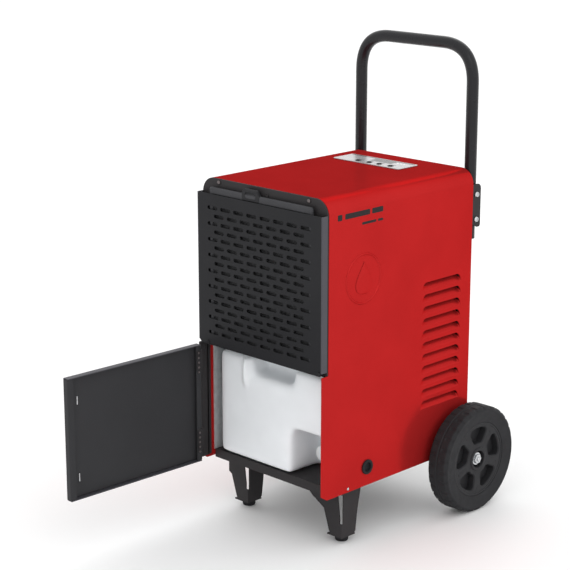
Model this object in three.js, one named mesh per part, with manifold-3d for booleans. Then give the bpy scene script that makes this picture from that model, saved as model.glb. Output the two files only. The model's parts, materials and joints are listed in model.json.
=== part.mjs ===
// Upright commercial dehumidifier on two wheels, with a push handle, a slotted
// front grille and a collecting tank behind a hinged door.
// Millimetres, +Z up, front towards -Y, +X on the machine's right-hand side.
// Lengths along Y are given from the grille's front face; the finished group is
// moved so that the origin lies under the middle of the whole machine.
import * as THREE from "three";
import { mergeVertices } from "three/addons/utils/BufferGeometryUtils.js";
import Module from "manifold-3d";

const wasm = await Module();
wasm.setup();

// ---------------------------------------------------------------- driving sizes
const HALF_WIDTH = 152;
const BODY_BACK = 394;
const BODY_BOTTOM = 104.6;
const BODY_TOP = 631.4;
const BEND = 28;
const SHEET = 2;
const GAP = 0.3;

const GRILLE_DEPTH = 13;
const GRILLE_BOTTOM = 329.4;
const GRILLE_TOP = 605.5;
const BEZEL_DEPTH = 3;
const EAR_FRONT = 1;

const SLOT_ROWS = 17;
const SLOT_ROW_PITCH = 14.2;
const SLOT_PITCH = 32.4;
const SLOT_LENGTH = 24.5;
const SLOT_HEIGHT = 5.6;

const LOUVRES = 11;
const LOUVRE_PITCH = 22.1;
const LOUVRE_LOWEST = 209;
const LOUVRE_HEIGHT = 15;
const LOUVRE_DEPTH = 8;
const LOUVRE_FRONT = 258;
const LOUVRE_BACK = 366;

const FLOOR_TOP = 116.5;
const FLOOR_SHEET = 1.5;
const LIP_FRONT = 35;
const LIP_BOTTOM = 100.5;
const SHELF_BOTTOM = 323;
const BAY_BACK = 205;

const WHEEL_RADIUS = 100;
const WHEEL_Y = 366.2;
const WHEEL_OUTER = 208.3;
const WHEEL_WIDTH = 45;
const RIM_RADIUS = 70;
const AXLE_RADIUS = 7;

const HANDLE_X = 134;
const HANDLE_Y = 407.5;
const HANDLE_TOP = 851.1;
const HANDLE_END = 500;
const TUBE_RADIUS = 11;
const HANDLE_BEND = 55;
const BRACKET_BOTTOM = 522;
const BRACKET_TOP = 602;

const DOOR_ANGLE = 92.2;
const DOOR_BOTTOM = 107;
const DOOR_TOP = 328;
const DOOR_DEPTH = 12.8;
const DOOR_SHEET = 1.5;
const DOOR_LIP = 12;
const HINGE_X = -152.2;
const HINGE_Y = -1.8;
const DOOR_START = 5.6;
const DOOR_END = 301;

const TANK_HALF_WIDTH = 135;
const TANK_FRONT = 32;
const TANK_BACK = 198;
const TANK_BOTTOM = 117;
const TANK_TOP = 312;
const TANK_WALL = 2.5;
const NOTCH_LEFT = 46;
const NOTCH_TOP = 203;
const NOTCH_BACK = 108;
const CAP_X = 76;
const CAP_Z = 152;
const CAP_RADIUS = 15;
const CAP_FRONT = 82;

const LEG_FRONT = 67;
const LEG_FOLD = 139;
const LEG_SHEET = 2;
const LEG_SLOT_BOTTOM = 40;
const LEG_SLOT_TOP = 95;
const FOOT_X = 118;
const FOOT_Y = 90;
const FOOT_RADIUS = 12;
const FOOT_HEIGHT = 13;

const FAN_Z = 478;
const FAN_RADIUS = 96;

const PIN_RADIUS = 1.4;
const KNUCKLE_RADIUS = 2.6;
const KNUCKLE_LENGTH = 14;
const HINGE_LEAVES = { upper: [280, 318], lower: [132, 170] };
const HINGE_STRIPS = { upper: [218.5, 322.5], lower: [109, 218.2] };
const STRIP_BACK = 19;

const ARM_Y = 150;
const ARM_X = 90;
const ARM_Z = 315.5;

const DOOR_TURN = THREE.MathUtils.degToRad(DOOR_ANGLE);
const DOOR_REACH = DOOR_END * Math.sin(DOOR_TURN) - (DOOR_DEPTH - HINGE_Y) * Math.cos(DOOR_TURN) - HINGE_Y;
const FRAME_SHIFT = (DOOR_REACH - WHEEL_Y - WHEEL_RADIUS) / 2;

// --------------------------------------------------------------------- finishes
const FINISHES = {
  red: { color: 0xba2627, roughness: 0.28, metalness: 0.1 },
  black: { color: 0x29292b, roughness: 0.55, metalness: 0.2 },
  darkDoor: { color: 0x3a3a3c, roughness: 0.6, metalness: 0.2 },
  galvanised: { color: 0x9da2a3, roughness: 0.45, metalness: 0.8 },
  zinc: { color: 0xc4c6c8, roughness: 0.35, metalness: 0.9 },
  aluminium: { color: 0xb8bcbf, roughness: 0.4, metalness: 0.9 },
  copper: { color: 0xb36b42, roughness: 0.35, metalness: 0.9 },
  tank: { color: 0xe4e8ea, roughness: 0.45, metalness: 0 },
  whitePlastic: { color: 0xeeeeec, roughness: 0.4, metalness: 0 },
  blackPlastic: { color: 0x2c2c2e, roughness: 0.6, metalness: 0 },
  greyPlastic: { color: 0x8d9092, roughness: 0.5, metalness: 0 },
  panel: { color: 0xb4b7ba, roughness: 0.4, metalness: 0.3 },
  display: { color: 0x10161a, roughness: 0.15, metalness: 0 },
  rubber: { color: 0x1b1b1c, roughness: 0.85, metalness: 0 },
  tyre: { color: 0x303032, roughness: 0.8, metalness: 0 },
  rim: { color: 0x3a3a3c, roughness: 0.65, metalness: 0 },
};

// --------------------------------------------------------- geometry and booleans
const ALONG_X = new THREE.Matrix4().makeBasis(
  new THREE.Vector3(0, 1, 0), new THREE.Vector3(0, 0, 1), new THREE.Vector3(1, 0, 0));
const ALONG_Y = new THREE.Matrix4().makeBasis(
  new THREE.Vector3(1, 0, 0), new THREE.Vector3(0, 0, 1), new THREE.Vector3(0, -1, 0));

// A closed three.js geometry as a manifold solid.
function solid(geometry) {
  const bare = geometry.clone();
  bare.deleteAttribute("normal");
  bare.deleteAttribute("uv");
  const merged = mergeVertices(bare, 1e-4);
  return new wasm.Manifold(new wasm.Mesh({
    numProp: 3,
    vertProperties: new Float32Array(merged.attributes.position.array),
    triVerts: new Uint32Array(merged.index.array),
  }));
}

// A manifold solid as a three.js geometry.
function geometryOf(body) {
  const mesh = body.getMesh();
  const geometry = new THREE.BufferGeometry();
  geometry.setAttribute("position", new THREE.BufferAttribute(mesh.vertProperties.slice(), mesh.numProp));
  geometry.setIndex(new THREE.BufferAttribute(mesh.triVerts.slice(), 1));
  geometry.computeVertexNormals();
  return geometry;
}

function join(bodies) {
  return bodies.reduce((whole, next) => whole.add(next));
}

function cut(body, tools) {
  return tools.reduce((rest, tool) => rest.subtract(tool), body);
}

// A box between two opposite corners.
function box(x0, x1, y0, y1, z0, z1) {
  const geometry = new THREE.BoxGeometry(x1 - x0, y1 - y0, z1 - z0);
  return solid(geometry.translate((x0 + x1) / 2, (y0 + y1) / 2, (z0 + z1) / 2));
}

function extrude(shape, depth, steps) {
  return new THREE.ExtrudeGeometry(shape, { depth, bevelEnabled: false, curveSegments: steps });
}

// An outline in (x, z) pushed from y0 to y1.
function prismY(shape, y0, y1, steps = 5) {
  return solid(extrude(shape, y1 - y0, steps).applyMatrix4(ALONG_Y).translate(0, y1, 0));
}

// An outline in (y, z) pushed from x0 to x1.
function prismX(shape, x0, x1, steps = 5) {
  return solid(extrude(shape, x1 - x0, steps).applyMatrix4(ALONG_X).translate(x0, 0, 0));
}

// An outline in (x, y) pushed from z0 to z1.
function prismZ(shape, z0, z1, steps = 5) {
  return solid(extrude(shape, z1 - z0, steps).translate(0, 0, z0));
}

function polygon(points) {
  return new THREE.Shape(points.map(([u, v]) => new THREE.Vector2(u, v)));
}

function roundedRect(u0, u1, v0, v1, radius) {
  const shape = new THREE.Shape();
  shape.moveTo(u0 + radius, v0);
  shape.lineTo(u1 - radius, v0);
  shape.absarc(u1 - radius, v0 + radius, radius, -Math.PI / 2, 0, false);
  shape.lineTo(u1, v1 - radius);
  shape.absarc(u1 - radius, v1 - radius, radius, 0, Math.PI / 2, false);
  shape.lineTo(u0 + radius, v1);
  shape.absarc(u0 + radius, v1 - radius, radius, Math.PI / 2, Math.PI, false);
  shape.lineTo(u0, v0 + radius);
  shape.absarc(u0 + radius, v0 + radius, radius, Math.PI, 1.5 * Math.PI, false);
  return shape;
}

// A body of revolution about a line parallel to X, Y or Z. The profile holds
// [radius, distance along the line] pairs.
function lathe(axis, centre, profile, segments = 20) {
  const points = profile.map(([r, t]) => new THREE.Vector2(r, t));
  const geometry = new THREE.LatheGeometry(points, segments);
  if (axis === "x") geometry.rotateZ(-Math.PI / 2);
  if (axis === "z") geometry.rotateX(Math.PI / 2);
  return solid(geometry.translate(...centre));
}

function rod(axis, centre, radius, length, segments = 16) {
  const half = length / 2;
  return lathe(axis, centre, [[0, -half], [radius, -half], [radius, half], [0, half]], segments);
}

// A round bar that follows a path.
function bar(path, radius, sides, steps) {
  const section = new THREE.Shape();
  section.absarc(0, 0, radius, 0, 2 * Math.PI, false);
  return solid(new THREE.ExtrudeGeometry(section, {
    steps, extrudePath: path, bevelEnabled: false, curveSegments: sides,
  }));
}

// A polyline path whose corners are rounded.
function roundedPath(corners, radius) {
  const path = new THREE.CurvePath();
  const points = corners.map((c) => new THREE.Vector3(...c));
  let from = points[0];
  for (let i = 1; i < points.length - 1; i += 1) {
    const inward = points[i - 1].clone().sub(points[i]).setLength(radius).add(points[i]);
    const outward = points[i + 1].clone().sub(points[i]).setLength(radius).add(points[i]);
    path.add(new THREE.LineCurve3(from, inward));
    path.add(new THREE.QuadraticBezierCurve3(inward, points[i], outward));
    from = outward;
  }
  path.add(new THREE.LineCurve3(from, points[points.length - 1]));
  return path;
}

function mirrorX(body) {
  return body.mirror([1, 0, 0]);
}

// ------------------------------------------------------------------ sheet casing
// The casing's outline seen from the front, inset from the outer surface.
function casingOutline(inset, bottom) {
  const side = HALF_WIDTH - inset;
  const top = BODY_TOP - inset;
  const radius = BEND - inset;
  const shape = new THREE.Shape();
  shape.moveTo(-side, bottom);
  shape.lineTo(side, bottom);
  shape.lineTo(side, top - radius);
  shape.absarc(side - radius, top - radius, radius, 0, Math.PI / 2, false);
  shape.lineTo(-side + radius, top);
  shape.absarc(-side + radius, top - radius, radius, Math.PI / 2, Math.PI, false);
  shape.lineTo(-side, bottom);
  return shape;
}

// One louvre of the right-hand side: the window in the sheet and the blade
// behind it, which leans inwards to an open top edge.
function louvreWindow(bottom) {
  const top = bottom + LOUVRE_HEIGHT;
  return box(HALF_WIDTH - SHEET - 1, HALF_WIDTH + 1, LOUVRE_FRONT, LOUVRE_BACK, bottom, top);
}

function louvreBlade(bottom) {
  const outer = HALF_WIDTH - 0.1;
  const inner = HALF_WIDTH - LOUVRE_DEPTH;
  const top = bottom + LOUVRE_HEIGHT;
  const blade = polygon([
    [outer - 1.8, bottom - 0.6], [outer, bottom - 0.6], [outer, bottom], [inner, top], [inner - 1.8, top]]);
  return prismY(blade, LOUVRE_FRONT, LOUVRE_BACK);
}

function hood() {
  let shell = prismY(casingOutline(0, BODY_BOTTOM), EAR_FRONT, BODY_BACK, 7);
  shell = shell.subtract(prismY(casingOutline(SHEET, BODY_BOTTOM - 5), EAR_FRONT - 5, BODY_BACK + 5, 7));
  const upperFront = GRILLE_DEPTH + BEZEL_DEPTH + GAP;
  const frontCut = box(-200, 200, -5, upperFront, GRILLE_BOTTOM - 1, BODY_TOP + 10);
  const cornerCut = polygon([[0, BODY_BOTTOM - 5], [0, BODY_BOTTOM + 10], [22, BODY_BOTTOM - 5]]);
  const panelCut = box(-62, 46, 297, 344, BODY_TOP - 10, BODY_TOP + 10);
  const hoseHole = rod("x", [HALF_WIDTH, 117, 139], 11, 20, 20);
  const axleArch = rod("x", [0, WHEEL_Y, WHEEL_RADIUS], AXLE_RADIUS + 1, 400, 20);
  shell = cut(shell, [frontCut, prismX(cornerCut, -200, 200), panelCut, hoseHole, axleArch]);
  for (let i = 0; i < LOUVRES; i += 1) {
    const bottom = LOUVRE_LOWEST + i * LOUVRE_PITCH;
    const window = louvreWindow(bottom);
    const blade = louvreBlade(bottom);
    shell = shell.subtract(window).subtract(mirrorX(window)).add(blade).add(mirrorX(blade));
  }
  return shell;
}

function bezel() {
  const plate = prismY(casingOutline(0, GRILLE_BOTTOM), GRILLE_DEPTH + GAP, GRILLE_DEPTH + BEZEL_DEPTH, 7);
  const opening = prismY(roundedRect(-130, 130, 345, 592, 6), GRILLE_DEPTH - 5, GRILLE_DEPTH + 10, 2);
  return plate.subtract(opening);
}

// One slot of the grille.
function slotHole(x, z) {
  const halfLength = SLOT_LENGTH / 2;
  const halfHeight = SLOT_HEIGHT / 2;
  return polygon([
    [x - halfLength, z - halfHeight], [x - halfLength, z + halfHeight],
    [x + halfLength, z + halfHeight], [x + halfLength, z - halfHeight]]);
}

function grille() {
  const face = polygon([
    [-HALF_WIDTH + 6, GRILLE_BOTTOM], [HALF_WIDTH - 6, GRILLE_BOTTOM], [HALF_WIDTH, GRILLE_BOTTOM + 6],
    [HALF_WIDTH, GRILLE_TOP], [-HALF_WIDTH, GRILLE_TOP], [-HALF_WIDTH, GRILLE_BOTTOM + 6]]);
  const slots = [];
  for (let row = 0; row < SLOT_ROWS; row += 1) {
    const z = GRILLE_TOP - 24.5 - row * SLOT_ROW_PITCH;
    const count = row % 2 === 0 ? 8 : 7;
    for (let i = 0; i < count; i += 1) {
      slots.push(slotHole((i - (count - 1) / 2) * SLOT_PITCH, z));
    }
  }
  const flange = HALF_WIDTH - 1.5;
  return join([
    prismY(face, 0, 1.5).subtract(prismY(slots, -5, 5)),
    box(-HALF_WIDTH, -flange, 1, GRILLE_DEPTH, GRILLE_BOTTOM + 6, GRILLE_TOP),
    box(flange, HALF_WIDTH, 1, GRILLE_DEPTH, GRILLE_BOTTOM + 6, GRILLE_TOP),
    box(-HALF_WIDTH + 6, HALF_WIDTH - 6, 1, GRILLE_DEPTH, GRILLE_BOTTOM, GRILLE_BOTTOM + 1.5)]);
}

function filterFrame() {
  const outer = roundedRect(-125, 125, 336, 617, 4);
  const window = polygon([[-117, 344], [-117, 604], [117, 604], [117, 344]]);
  outer.holes.push(window);
  const tab = roundedRect(-43, 1, 604, 626, 5);
  return join([
    prismY(outer, 3.5, 9.5, 2),
    prismY(tab, 3, 10, 3),
    box(-1.5, 1.5, 4, 6, 343, 605),
    box(-118, 118, 4, 6, 472.5, 475.5)]);
}

function filterMesh() {
  return box(-116.6, 116.6, 6.4, 8.4, 344.4, 603.6);
}

function rearPanel() {
  const panel = prismY(casingOutline(SHEET + GAP, FLOOR_TOP + 2), BODY_BACK - 3, BODY_BACK - 1.2, 5);
  return panel.subtract(rod("y", [-92, BODY_BACK, 160], 9, 20, 16));
}

function baseTray() {
  const side = HALF_WIDTH - SHEET - GAP;
  const back = BODY_BACK - 3.4;
  const floor = FLOOR_TOP - FLOOR_SHEET;
  return join([
    box(-side, side, LIP_FRONT, back, floor, FLOOR_TOP),
    box(-side, side, LIP_FRONT, LIP_FRONT + FLOOR_SHEET, LIP_BOTTOM, FLOOR_TOP),
    box(-side, side, back - FLOOR_SHEET, back, LIP_BOTTOM + 4, FLOOR_TOP),
    box(-side, -side + FLOOR_SHEET, LIP_FRONT, back, LIP_BOTTOM + 8, FLOOR_TOP),
    box(side - FLOOR_SHEET, side, LIP_FRONT, back, LIP_BOTTOM + 8, FLOOR_TOP)]);
}

function bayShelf() {
  const side = HALF_WIDTH - SHEET - 2 * GAP;
  const front = GRILLE_DEPTH + BEZEL_DEPTH + 2 * GAP;
  const shelf = box(-side, side, front, BAY_BACK + 1.2, SHELF_BOTTOM, SHELF_BOTTOM + 1.2);
  const cheek = (x) => box(x - 1, x + 1, ARM_Y - 6, ARM_Y + 6, TANK_TOP + 0.6, SHELF_BOTTOM + 1);
  const drain = rod("z", [-40, 110, SHELF_BOTTOM], 8, 10, 16);
  const pivot = rod("x", [ARM_X, ARM_Y, ARM_Z], 2.7, 30, 12);
  return cut(join([shelf, cheek(ARM_X - 10), cheek(ARM_X + 10)]), [drain, pivot]);
}

function bayBack() {
  const side = HALF_WIDTH - SHEET - 2 * GAP;
  return box(-side, side, BAY_BACK, BAY_BACK + 1.2, FLOOR_TOP + GAP, SHELF_BOTTOM - GAP);
}

function bayLiner() {
  const outer = HALF_WIDTH - SHEET - GAP;
  const liner = box(outer - 1.2, outer, 32, BAY_BACK - GAP, FLOOR_TOP + GAP, SHELF_BOTTOM - GAP);
  return liner.subtract(rod("x", [outer, 117, 139], 11, 20, 20));
}

// --------------------------------------------------------------- legs and wheels
// A front leg: a front plate and a side plate that meet in a slotted fold,
// with a sole on the rubber foot and a flange under the tray.
function leg() {
  const top = FLOOR_TOP - FLOOR_SHEET - GAP;
  const sole = FOOT_HEIGHT + GAP;
  const front = polygon([
    [44, top], [50, 92], [68, 76.4], [95.7, 60.5], [108.2, 21.5], [114, sole],
    [LEG_FOLD, sole], [LEG_FOLD, top]]);
  const side = polygon([
    [LEG_FRONT, sole], [98, sole], [103, 19], [108, 59], [115, 92], [118, top], [LEG_FRONT, top]]);
  const frontSlot = polygon([
    [128.6, LEG_SLOT_TOP], [LEG_FOLD + 5, LEG_SLOT_TOP],
    [LEG_FOLD + 5, LEG_SLOT_BOTTOM], [135.5, LEG_SLOT_BOTTOM]]);
  const leaf = join([
    prismY(front, LEG_FRONT, LEG_FRONT + LEG_SHEET),
    prismX(side, LEG_FOLD - LEG_SHEET, LEG_FOLD),
    box(104, LEG_FOLD, LEG_FRONT, 102, sole, sole + LEG_SHEET),
    box(100, LEG_FOLD, LEG_FRONT, 90, top - LEG_SHEET, top)]);
  return leaf
    .subtract(prismY(frontSlot, LEG_FRONT - 5, LEG_FRONT + LEG_SHEET + 0.5))
    .subtract(box(LEG_FOLD - 5, LEG_FOLD + 5, LEG_FRONT - 5, 71, LEG_SLOT_BOTTOM, LEG_SLOT_TOP));
}

// The left leg is the same part, trimmed where it would pass the casing.
function leftLeg() {
  const trim = box(-HALF_WIDTH + 4.6, 0, LEG_FRONT - 5, 200, 0, FLOOR_TOP);
  return leg().translate([-2 * FOOT_X, 0, 0]).intersect(trim);
}

function foot() {
  return lathe("z", [FOOT_X, FOOT_Y, 0], [
    [0, 0], [FOOT_RADIUS - 1, 0], [FOOT_RADIUS, 1.5], [FOOT_RADIUS - 0.6, FOOT_HEIGHT],
    [0, FOOT_HEIGHT]], 20);
}

function axleBracket() {
  const hanger = roundedRect(WHEEL_Y - 20, WHEEL_Y + 20, 84, FLOOR_TOP - FLOOR_SHEET - GAP, 6);
  const plate = prismX(hanger, 118, 121, 3);
  const flange = box(121, 138, WHEEL_Y - 20, WHEEL_Y + 20, 111.7, FLOOR_TOP - FLOOR_SHEET - GAP);
  return join([plate, flange]).subtract(rod("x", [120, WHEEL_Y, WHEEL_RADIUS], AXLE_RADIUS + 0.3, 30, 20));
}

function tyre() {
  const inner = WHEEL_OUTER - WHEEL_WIDTH;
  const rubber = lathe("x", [0, WHEEL_Y, WHEEL_RADIUS], [
    [RIM_RADIUS + GAP, inner + 4], [88, inner + 2], [96, inner], [100, inner + 5],
    [100, WHEEL_OUTER - 5], [96, WHEEL_OUTER], [88, WHEEL_OUTER - 2],
    [RIM_RADIUS + GAP, WHEEL_OUTER - 4], [RIM_RADIUS + GAP, inner + 4]], 40);
  return rubber;
}

function rim() {
  const outline = new THREE.Shape();
  outline.absarc(WHEEL_Y, WHEEL_RADIUS, RIM_RADIUS, 0, 2 * Math.PI, false);
  const spokes = 5;
  for (let i = 0; i < spokes; i += 1) {
    outline.holes.push(kidney(Math.PI / 2 + (i * 2 * Math.PI) / spokes, 0.44, 30, 62));
  }
  const inner = WHEEL_OUTER - WHEEL_WIDTH;
  const disc = prismX(outline, inner + 6, WHEEL_OUTER - 4, 6);
  const web = rod("x", [inner + 8, WHEEL_Y, WHEEL_RADIUS], 66, 4, 30);
  const hub = rod("x", [WHEEL_OUTER - WHEEL_WIDTH / 2 - 0.5, WHEEL_Y, WHEEL_RADIUS], 22, WHEEL_WIDTH - 1, 20);
  const recess = rod("x", [WHEEL_OUTER, WHEEL_Y, WHEEL_RADIUS], 16, 21, 20);
  const bore = rod("x", [WHEEL_OUTER - 20, WHEEL_Y, WHEEL_RADIUS], AXLE_RADIUS + 0.2, 80, 16);
  return join([disc, web, hub]).subtract(recess).subtract(bore);
}

// The outline of a kidney-shaped pocket about the wheel's centre.
function kidney(middle, spread, r0, r1) {
  const hole = new THREE.Path();
  hole.absarc(WHEEL_Y, WHEEL_RADIUS, r1, middle - spread, middle + spread, false);
  hole.absarc(WHEEL_Y, WHEEL_RADIUS, r0, middle + spread * 0.8, middle - spread * 0.8, true);
  hole.closePath();
  return hole;
}

function axle() {
  return rod("x", [0, WHEEL_Y, WHEEL_RADIUS], AXLE_RADIUS, 2 * (WHEEL_OUTER - 10.5), 20);
}

function axleNut() {
  const face = WHEEL_OUTER - 10.2;
  return lathe("x", [0, WHEEL_Y, WHEEL_RADIUS], [
    [0, face], [12, face], [12, face + 2], [8, face + 2], [8, face + 7],
    [5, face + 8.5], [0, face + 8.5]], 18);
}

// ------------------------------------------------------------------------ handle
function handleTube() {
  const path = roundedPath([
    [-HANDLE_X, HANDLE_Y, HANDLE_END], [-HANDLE_X, HANDLE_Y, HANDLE_TOP],
    [HANDLE_X, HANDLE_Y, HANDLE_TOP], [HANDLE_X, HANDLE_Y, HANDLE_END]], HANDLE_BEND * 1.25);
  return bar(path, TUBE_RADIUS, 5, 40);
}

function handleBracket() {
  const back = BODY_BACK + GAP;
  const angle = polygon([
    [118, back], [149, back], [149, 420.5], [146.4, 420.5], [146.4, back + 1.6], [118, back + 1.6]]);
  return prismZ(angle, BRACKET_BOTTOM, BRACKET_TOP);
}

function handleBolt(z) {
  return lathe("x", [149 + GAP, HANDLE_Y, z], [[0, 0], [6.5, 0], [6.5, 1.2], [5, 3.2], [0, 3.8]], 18);
}

// -------------------------------------------------------------------------- door
// The door is drawn closed, then turned about its hinge to the open position.
function openDoor(body) {
  return body
    .translate([-HINGE_X, -HINGE_Y, 0])
    .rotate([0, 0, -DOOR_ANGLE])
    .translate([HINGE_X, HINGE_Y, 0]);
}

function doorPanel() {
  const x0 = HINGE_X + DOOR_START;
  const x1 = HINGE_X + DOOR_END;
  const s = DOOR_SHEET;
  const back = DOOR_DEPTH;
  return openDoor(join([
    box(x0, x1, 0, s, DOOR_BOTTOM, DOOR_TOP),
    box(x0, x0 + s, 0, back, DOOR_BOTTOM, DOOR_TOP),
    box(x1 - s, x1, 0, back, DOOR_BOTTOM, DOOR_TOP),
    box(x0, x1, 0, back, DOOR_BOTTOM, DOOR_BOTTOM + s),
    box(x0, x1, 0, back, DOOR_TOP - s, DOOR_TOP),
    box(x0, x0 + DOOR_LIP, back - s, back, DOOR_BOTTOM, DOOR_TOP),
    box(x1 - DOOR_LIP, x1, back - s, back, DOOR_BOTTOM, DOOR_TOP)]));
}

// The backing sheet that closes the pan a little below its lips.
function doorLiner() {
  const x0 = HINGE_X + DOOR_START + DOOR_SHEET + GAP;
  const x1 = HINGE_X + DOOR_END - DOOR_SHEET - GAP;
  const y0 = DOOR_SHEET + GAP;
  return openDoor(box(x0, x1, y0, y0 + 3.2, DOOR_BOTTOM + DOOR_SHEET + GAP, DOOR_TOP - DOOR_SHEET - GAP));
}

// The moving leaf: a knuckle on the pin, a plate along the door's edge and a
// screwed tab on the door's lip.
function doorLeaf([z0, z1]) {
  const x0 = HINGE_X + DOOR_START;
  const tabFront = DOOR_DEPTH + GAP;
  const middle = (z0 + z1) / 2;
  const k0 = middle - KNUCKLE_LENGTH / 2;
  const k1 = middle + KNUCKLE_LENGTH / 2;
  const head = (z) => rod("y", [x0 + 7.5, tabFront + 0.9, z], 2.6, 1, 12);
  const bore = rod("z", [HINGE_X, HINGE_Y, middle], PIN_RADIUS + 0.2, 2 * KNUCKLE_LENGTH, 12);
  return openDoor(join([
    box(x0 - 1.6, x0 - GAP, HINGE_Y + 1, tabFront + 0.8, z0, z1),
    box(x0 - 1.6, x0 + 11, tabFront, tabFront + 0.8, z0, z1),
    box(HINGE_X, x0 - 1, HINGE_Y + 1, HINGE_Y + 2.2, k0, k1),
    rod("z", [HINGE_X, HINGE_Y, middle], KNUCKLE_RADIUS, KNUCKLE_LENGTH, 16),
    head(z0 + 8), head(z1 - 8)]).subtract(bore));
}

// The fixed leaf is a strip on the inner face of the casing's left edge. It
// carries the pin on two lugs, above and below the moving knuckle.
function fixedLeaf([z0, z1], [stripLow, stripHigh]) {
  const x0 = -HALF_WIDTH + SHEET + 0.2;
  const x1 = x0 + 1.1;
  const middle = (z0 + z1) / 2;
  const lug = (low, high) => [
    box(x0, x1, HINGE_Y - 0.6, EAR_FRONT + 0.5, low, high),
    box(HINGE_X, x1, HINGE_Y - 0.6, HINGE_Y + 0.6, low, high)];
  return join([
    box(x0, x1, EAR_FRONT + 0.2, STRIP_BACK, stripLow, stripHigh),
    ...lug(z0, middle - KNUCKLE_LENGTH / 2 - GAP),
    ...lug(middle + KNUCKLE_LENGTH / 2 + GAP, z1),
    rod("z", [HINGE_X, HINGE_Y, middle], PIN_RADIUS, z1 - z0, 12)]);
}

// -------------------------------------------------------------------------- tank
function tankOutline(inset) {
  return roundedRect(
    -TANK_HALF_WIDTH + inset, TANK_HALF_WIDTH - inset, TANK_BOTTOM + inset, TANK_TOP - inset, 18 - inset);
}

// The tank seen from the side, with its rounded bottom edge.
function tankSide(inset) {
  const front = TANK_FRONT + inset;
  const back = TANK_BACK - inset;
  const low = TANK_BOTTOM + inset;
  const high = TANK_TOP - inset;
  return roundedRect(front, back, low, high, 16 - inset);
}

function tankPlan(inset) {
  return roundedRect(
    -TANK_HALF_WIDTH + inset, TANK_HALF_WIDTH - inset, TANK_FRONT + inset, TANK_BACK - inset, 10 - inset);
}

function tankBlank(inset) {
  return prismY(tankOutline(inset), 0, 300, 3)
    .intersect(prismX(tankSide(inset), -200, 200, 3))
    .intersect(prismZ(tankPlan(inset), 0, 400, 2));
}

// Space taken out of the lower right corner for the drain cap, and out of the
// top front for the fingers.
function tankRecesses(grow) {
  const notch = prismX(
    roundedRect(0, NOTCH_BACK + grow, 0, NOTCH_TOP + grow, 12), NOTCH_LEFT - grow, 200, 2);
  const grip = prismY(roundedRect(-51 - grow, 51 + grow, 283 - grow, 380, 10), 0, 76 + grow, 3);
  return notch.add(grip);
}

function waterTank() {
  const outer = tankBlank(0).subtract(tankRecesses(0));
  const inner = tankBlank(TANK_WALL).subtract(tankRecesses(TANK_WALL));
  const spout = rod("y", [CAP_X, NOTCH_BACK - 10, CAP_Z], 11, 24, 20);
  const spoutBore = rod("y", [CAP_X, NOTCH_BACK - 8, CAP_Z], 8.5, 40, 20);
  const inlet = rod("z", [-40, 110, TANK_TOP], 22, 20, 16);
  return outer.subtract(inner).add(spout).subtract(spoutBore).subtract(inlet);
}

function tankCap() {
  const inside = CAP_FRONT + 3.5;
  return lathe("y", [CAP_X, 0, CAP_Z], [
    [0, CAP_FRONT], [CAP_RADIUS - 1.5, CAP_FRONT], [CAP_RADIUS, CAP_FRONT + 1.5],
    [CAP_RADIUS, CAP_FRONT + 15], [11.4, CAP_FRONT + 15], [11.4, inside], [0, inside]], 24);
}

// --------------------------------------------------------------------- inner unit
function finnedCoil(y0, y1) {
  const halfWidth = 128;
  const core = [box(-halfWidth, halfWidth, y0 + 1.5, y1 - 1.5, 348, 596)];
  const rows = 8;
  for (let i = 0; i < rows; i += 1) {
    const z = 363 + i * 31;
    core.push(rod("x", [0, (y0 + y1) / 2, z], 4.2, 2 * halfWidth + 9, 6));
  }
  core.push(box(-halfWidth - 2, -halfWidth + 1, y0, y1, 346, 598));
  core.push(box(halfWidth - 1, halfWidth + 2, y0, y1, 346, 598));
  return join(core);
}

function dripPan() {
  const tray = box(-138, 138, 22, 122, SHELF_BOTTOM + 1.5, 344);
  const hollow = box(-136.5, 136.5, 23.5, 120.5, SHELF_BOTTOM + 3.5, 360);
  const spout = rod("z", [-40, 110, SHELF_BOTTOM - 2.5], 6.5, 15, 16);
  const bore = rod("z", [-40, 110, SHELF_BOTTOM - 2], 4.5, 40, 12);
  return tray.subtract(hollow).add(spout).subtract(bore);
}

function fanShroud() {
  const plate = roundedRect(-122, 122, SHELF_BOTTOM + 3, 612, 8);
  const opening = new THREE.Path();
  opening.absarc(0, FAN_Z, FAN_RADIUS + 6, 0, 2 * Math.PI, false);
  plate.holes.push(opening);
  const ring = lathe("y", [0, 0, FAN_Z], [
    [FAN_RADIUS + 4, 134], [FAN_RADIUS + 7, 134], [FAN_RADIUS + 7, 166], [FAN_RADIUS + 4, 166],
    [FAN_RADIUS + 4, 134]], 24);
  const arms = box(-FAN_RADIUS - 6, FAN_RADIUS + 6, 172, 175, FAN_Z - 6, FAN_Z + 6);
  const posts = [
    box(-FAN_RADIUS - 6.5, -FAN_RADIUS - 4.5, 160, 175, FAN_Z - 6, FAN_Z + 6),
    box(FAN_RADIUS + 4.5, FAN_RADIUS + 6.5, 160, 175, FAN_Z - 6, FAN_Z + 6)];
  const shaftHole = rod("y", [0, 174, FAN_Z], 9, 20, 16);
  return join([prismY(plate, 134, 136, 8), ring, arms, ...posts]).subtract(shaftHole);
}

function fanBlade() {
  const hub = rod("y", [0, 152, FAN_Z], 24, 22, 24);
  const blade = polygon([
    [0, 12], [40, 16], [FAN_RADIUS - 4, 30], [FAN_RADIUS, 8], [FAN_RADIUS - 6, -26], [40, -14]]);
  const blades = [];
  for (let i = 0; i < 4; i += 1) {
    const flat = solid(extrude(blade, 2, 3).translate(0, 0, -1));
    blades.push(flat.rotate([22, 0, 0]).rotate([90, 0, 0]).rotate([0, i * 90, 0]).translate([0, 152, FAN_Z]));
  }
  const bore = rod("y", [0, 158, FAN_Z], 4.3, 30, 12);
  return hub.add(join(blades)).subtract(bore);
}

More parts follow.
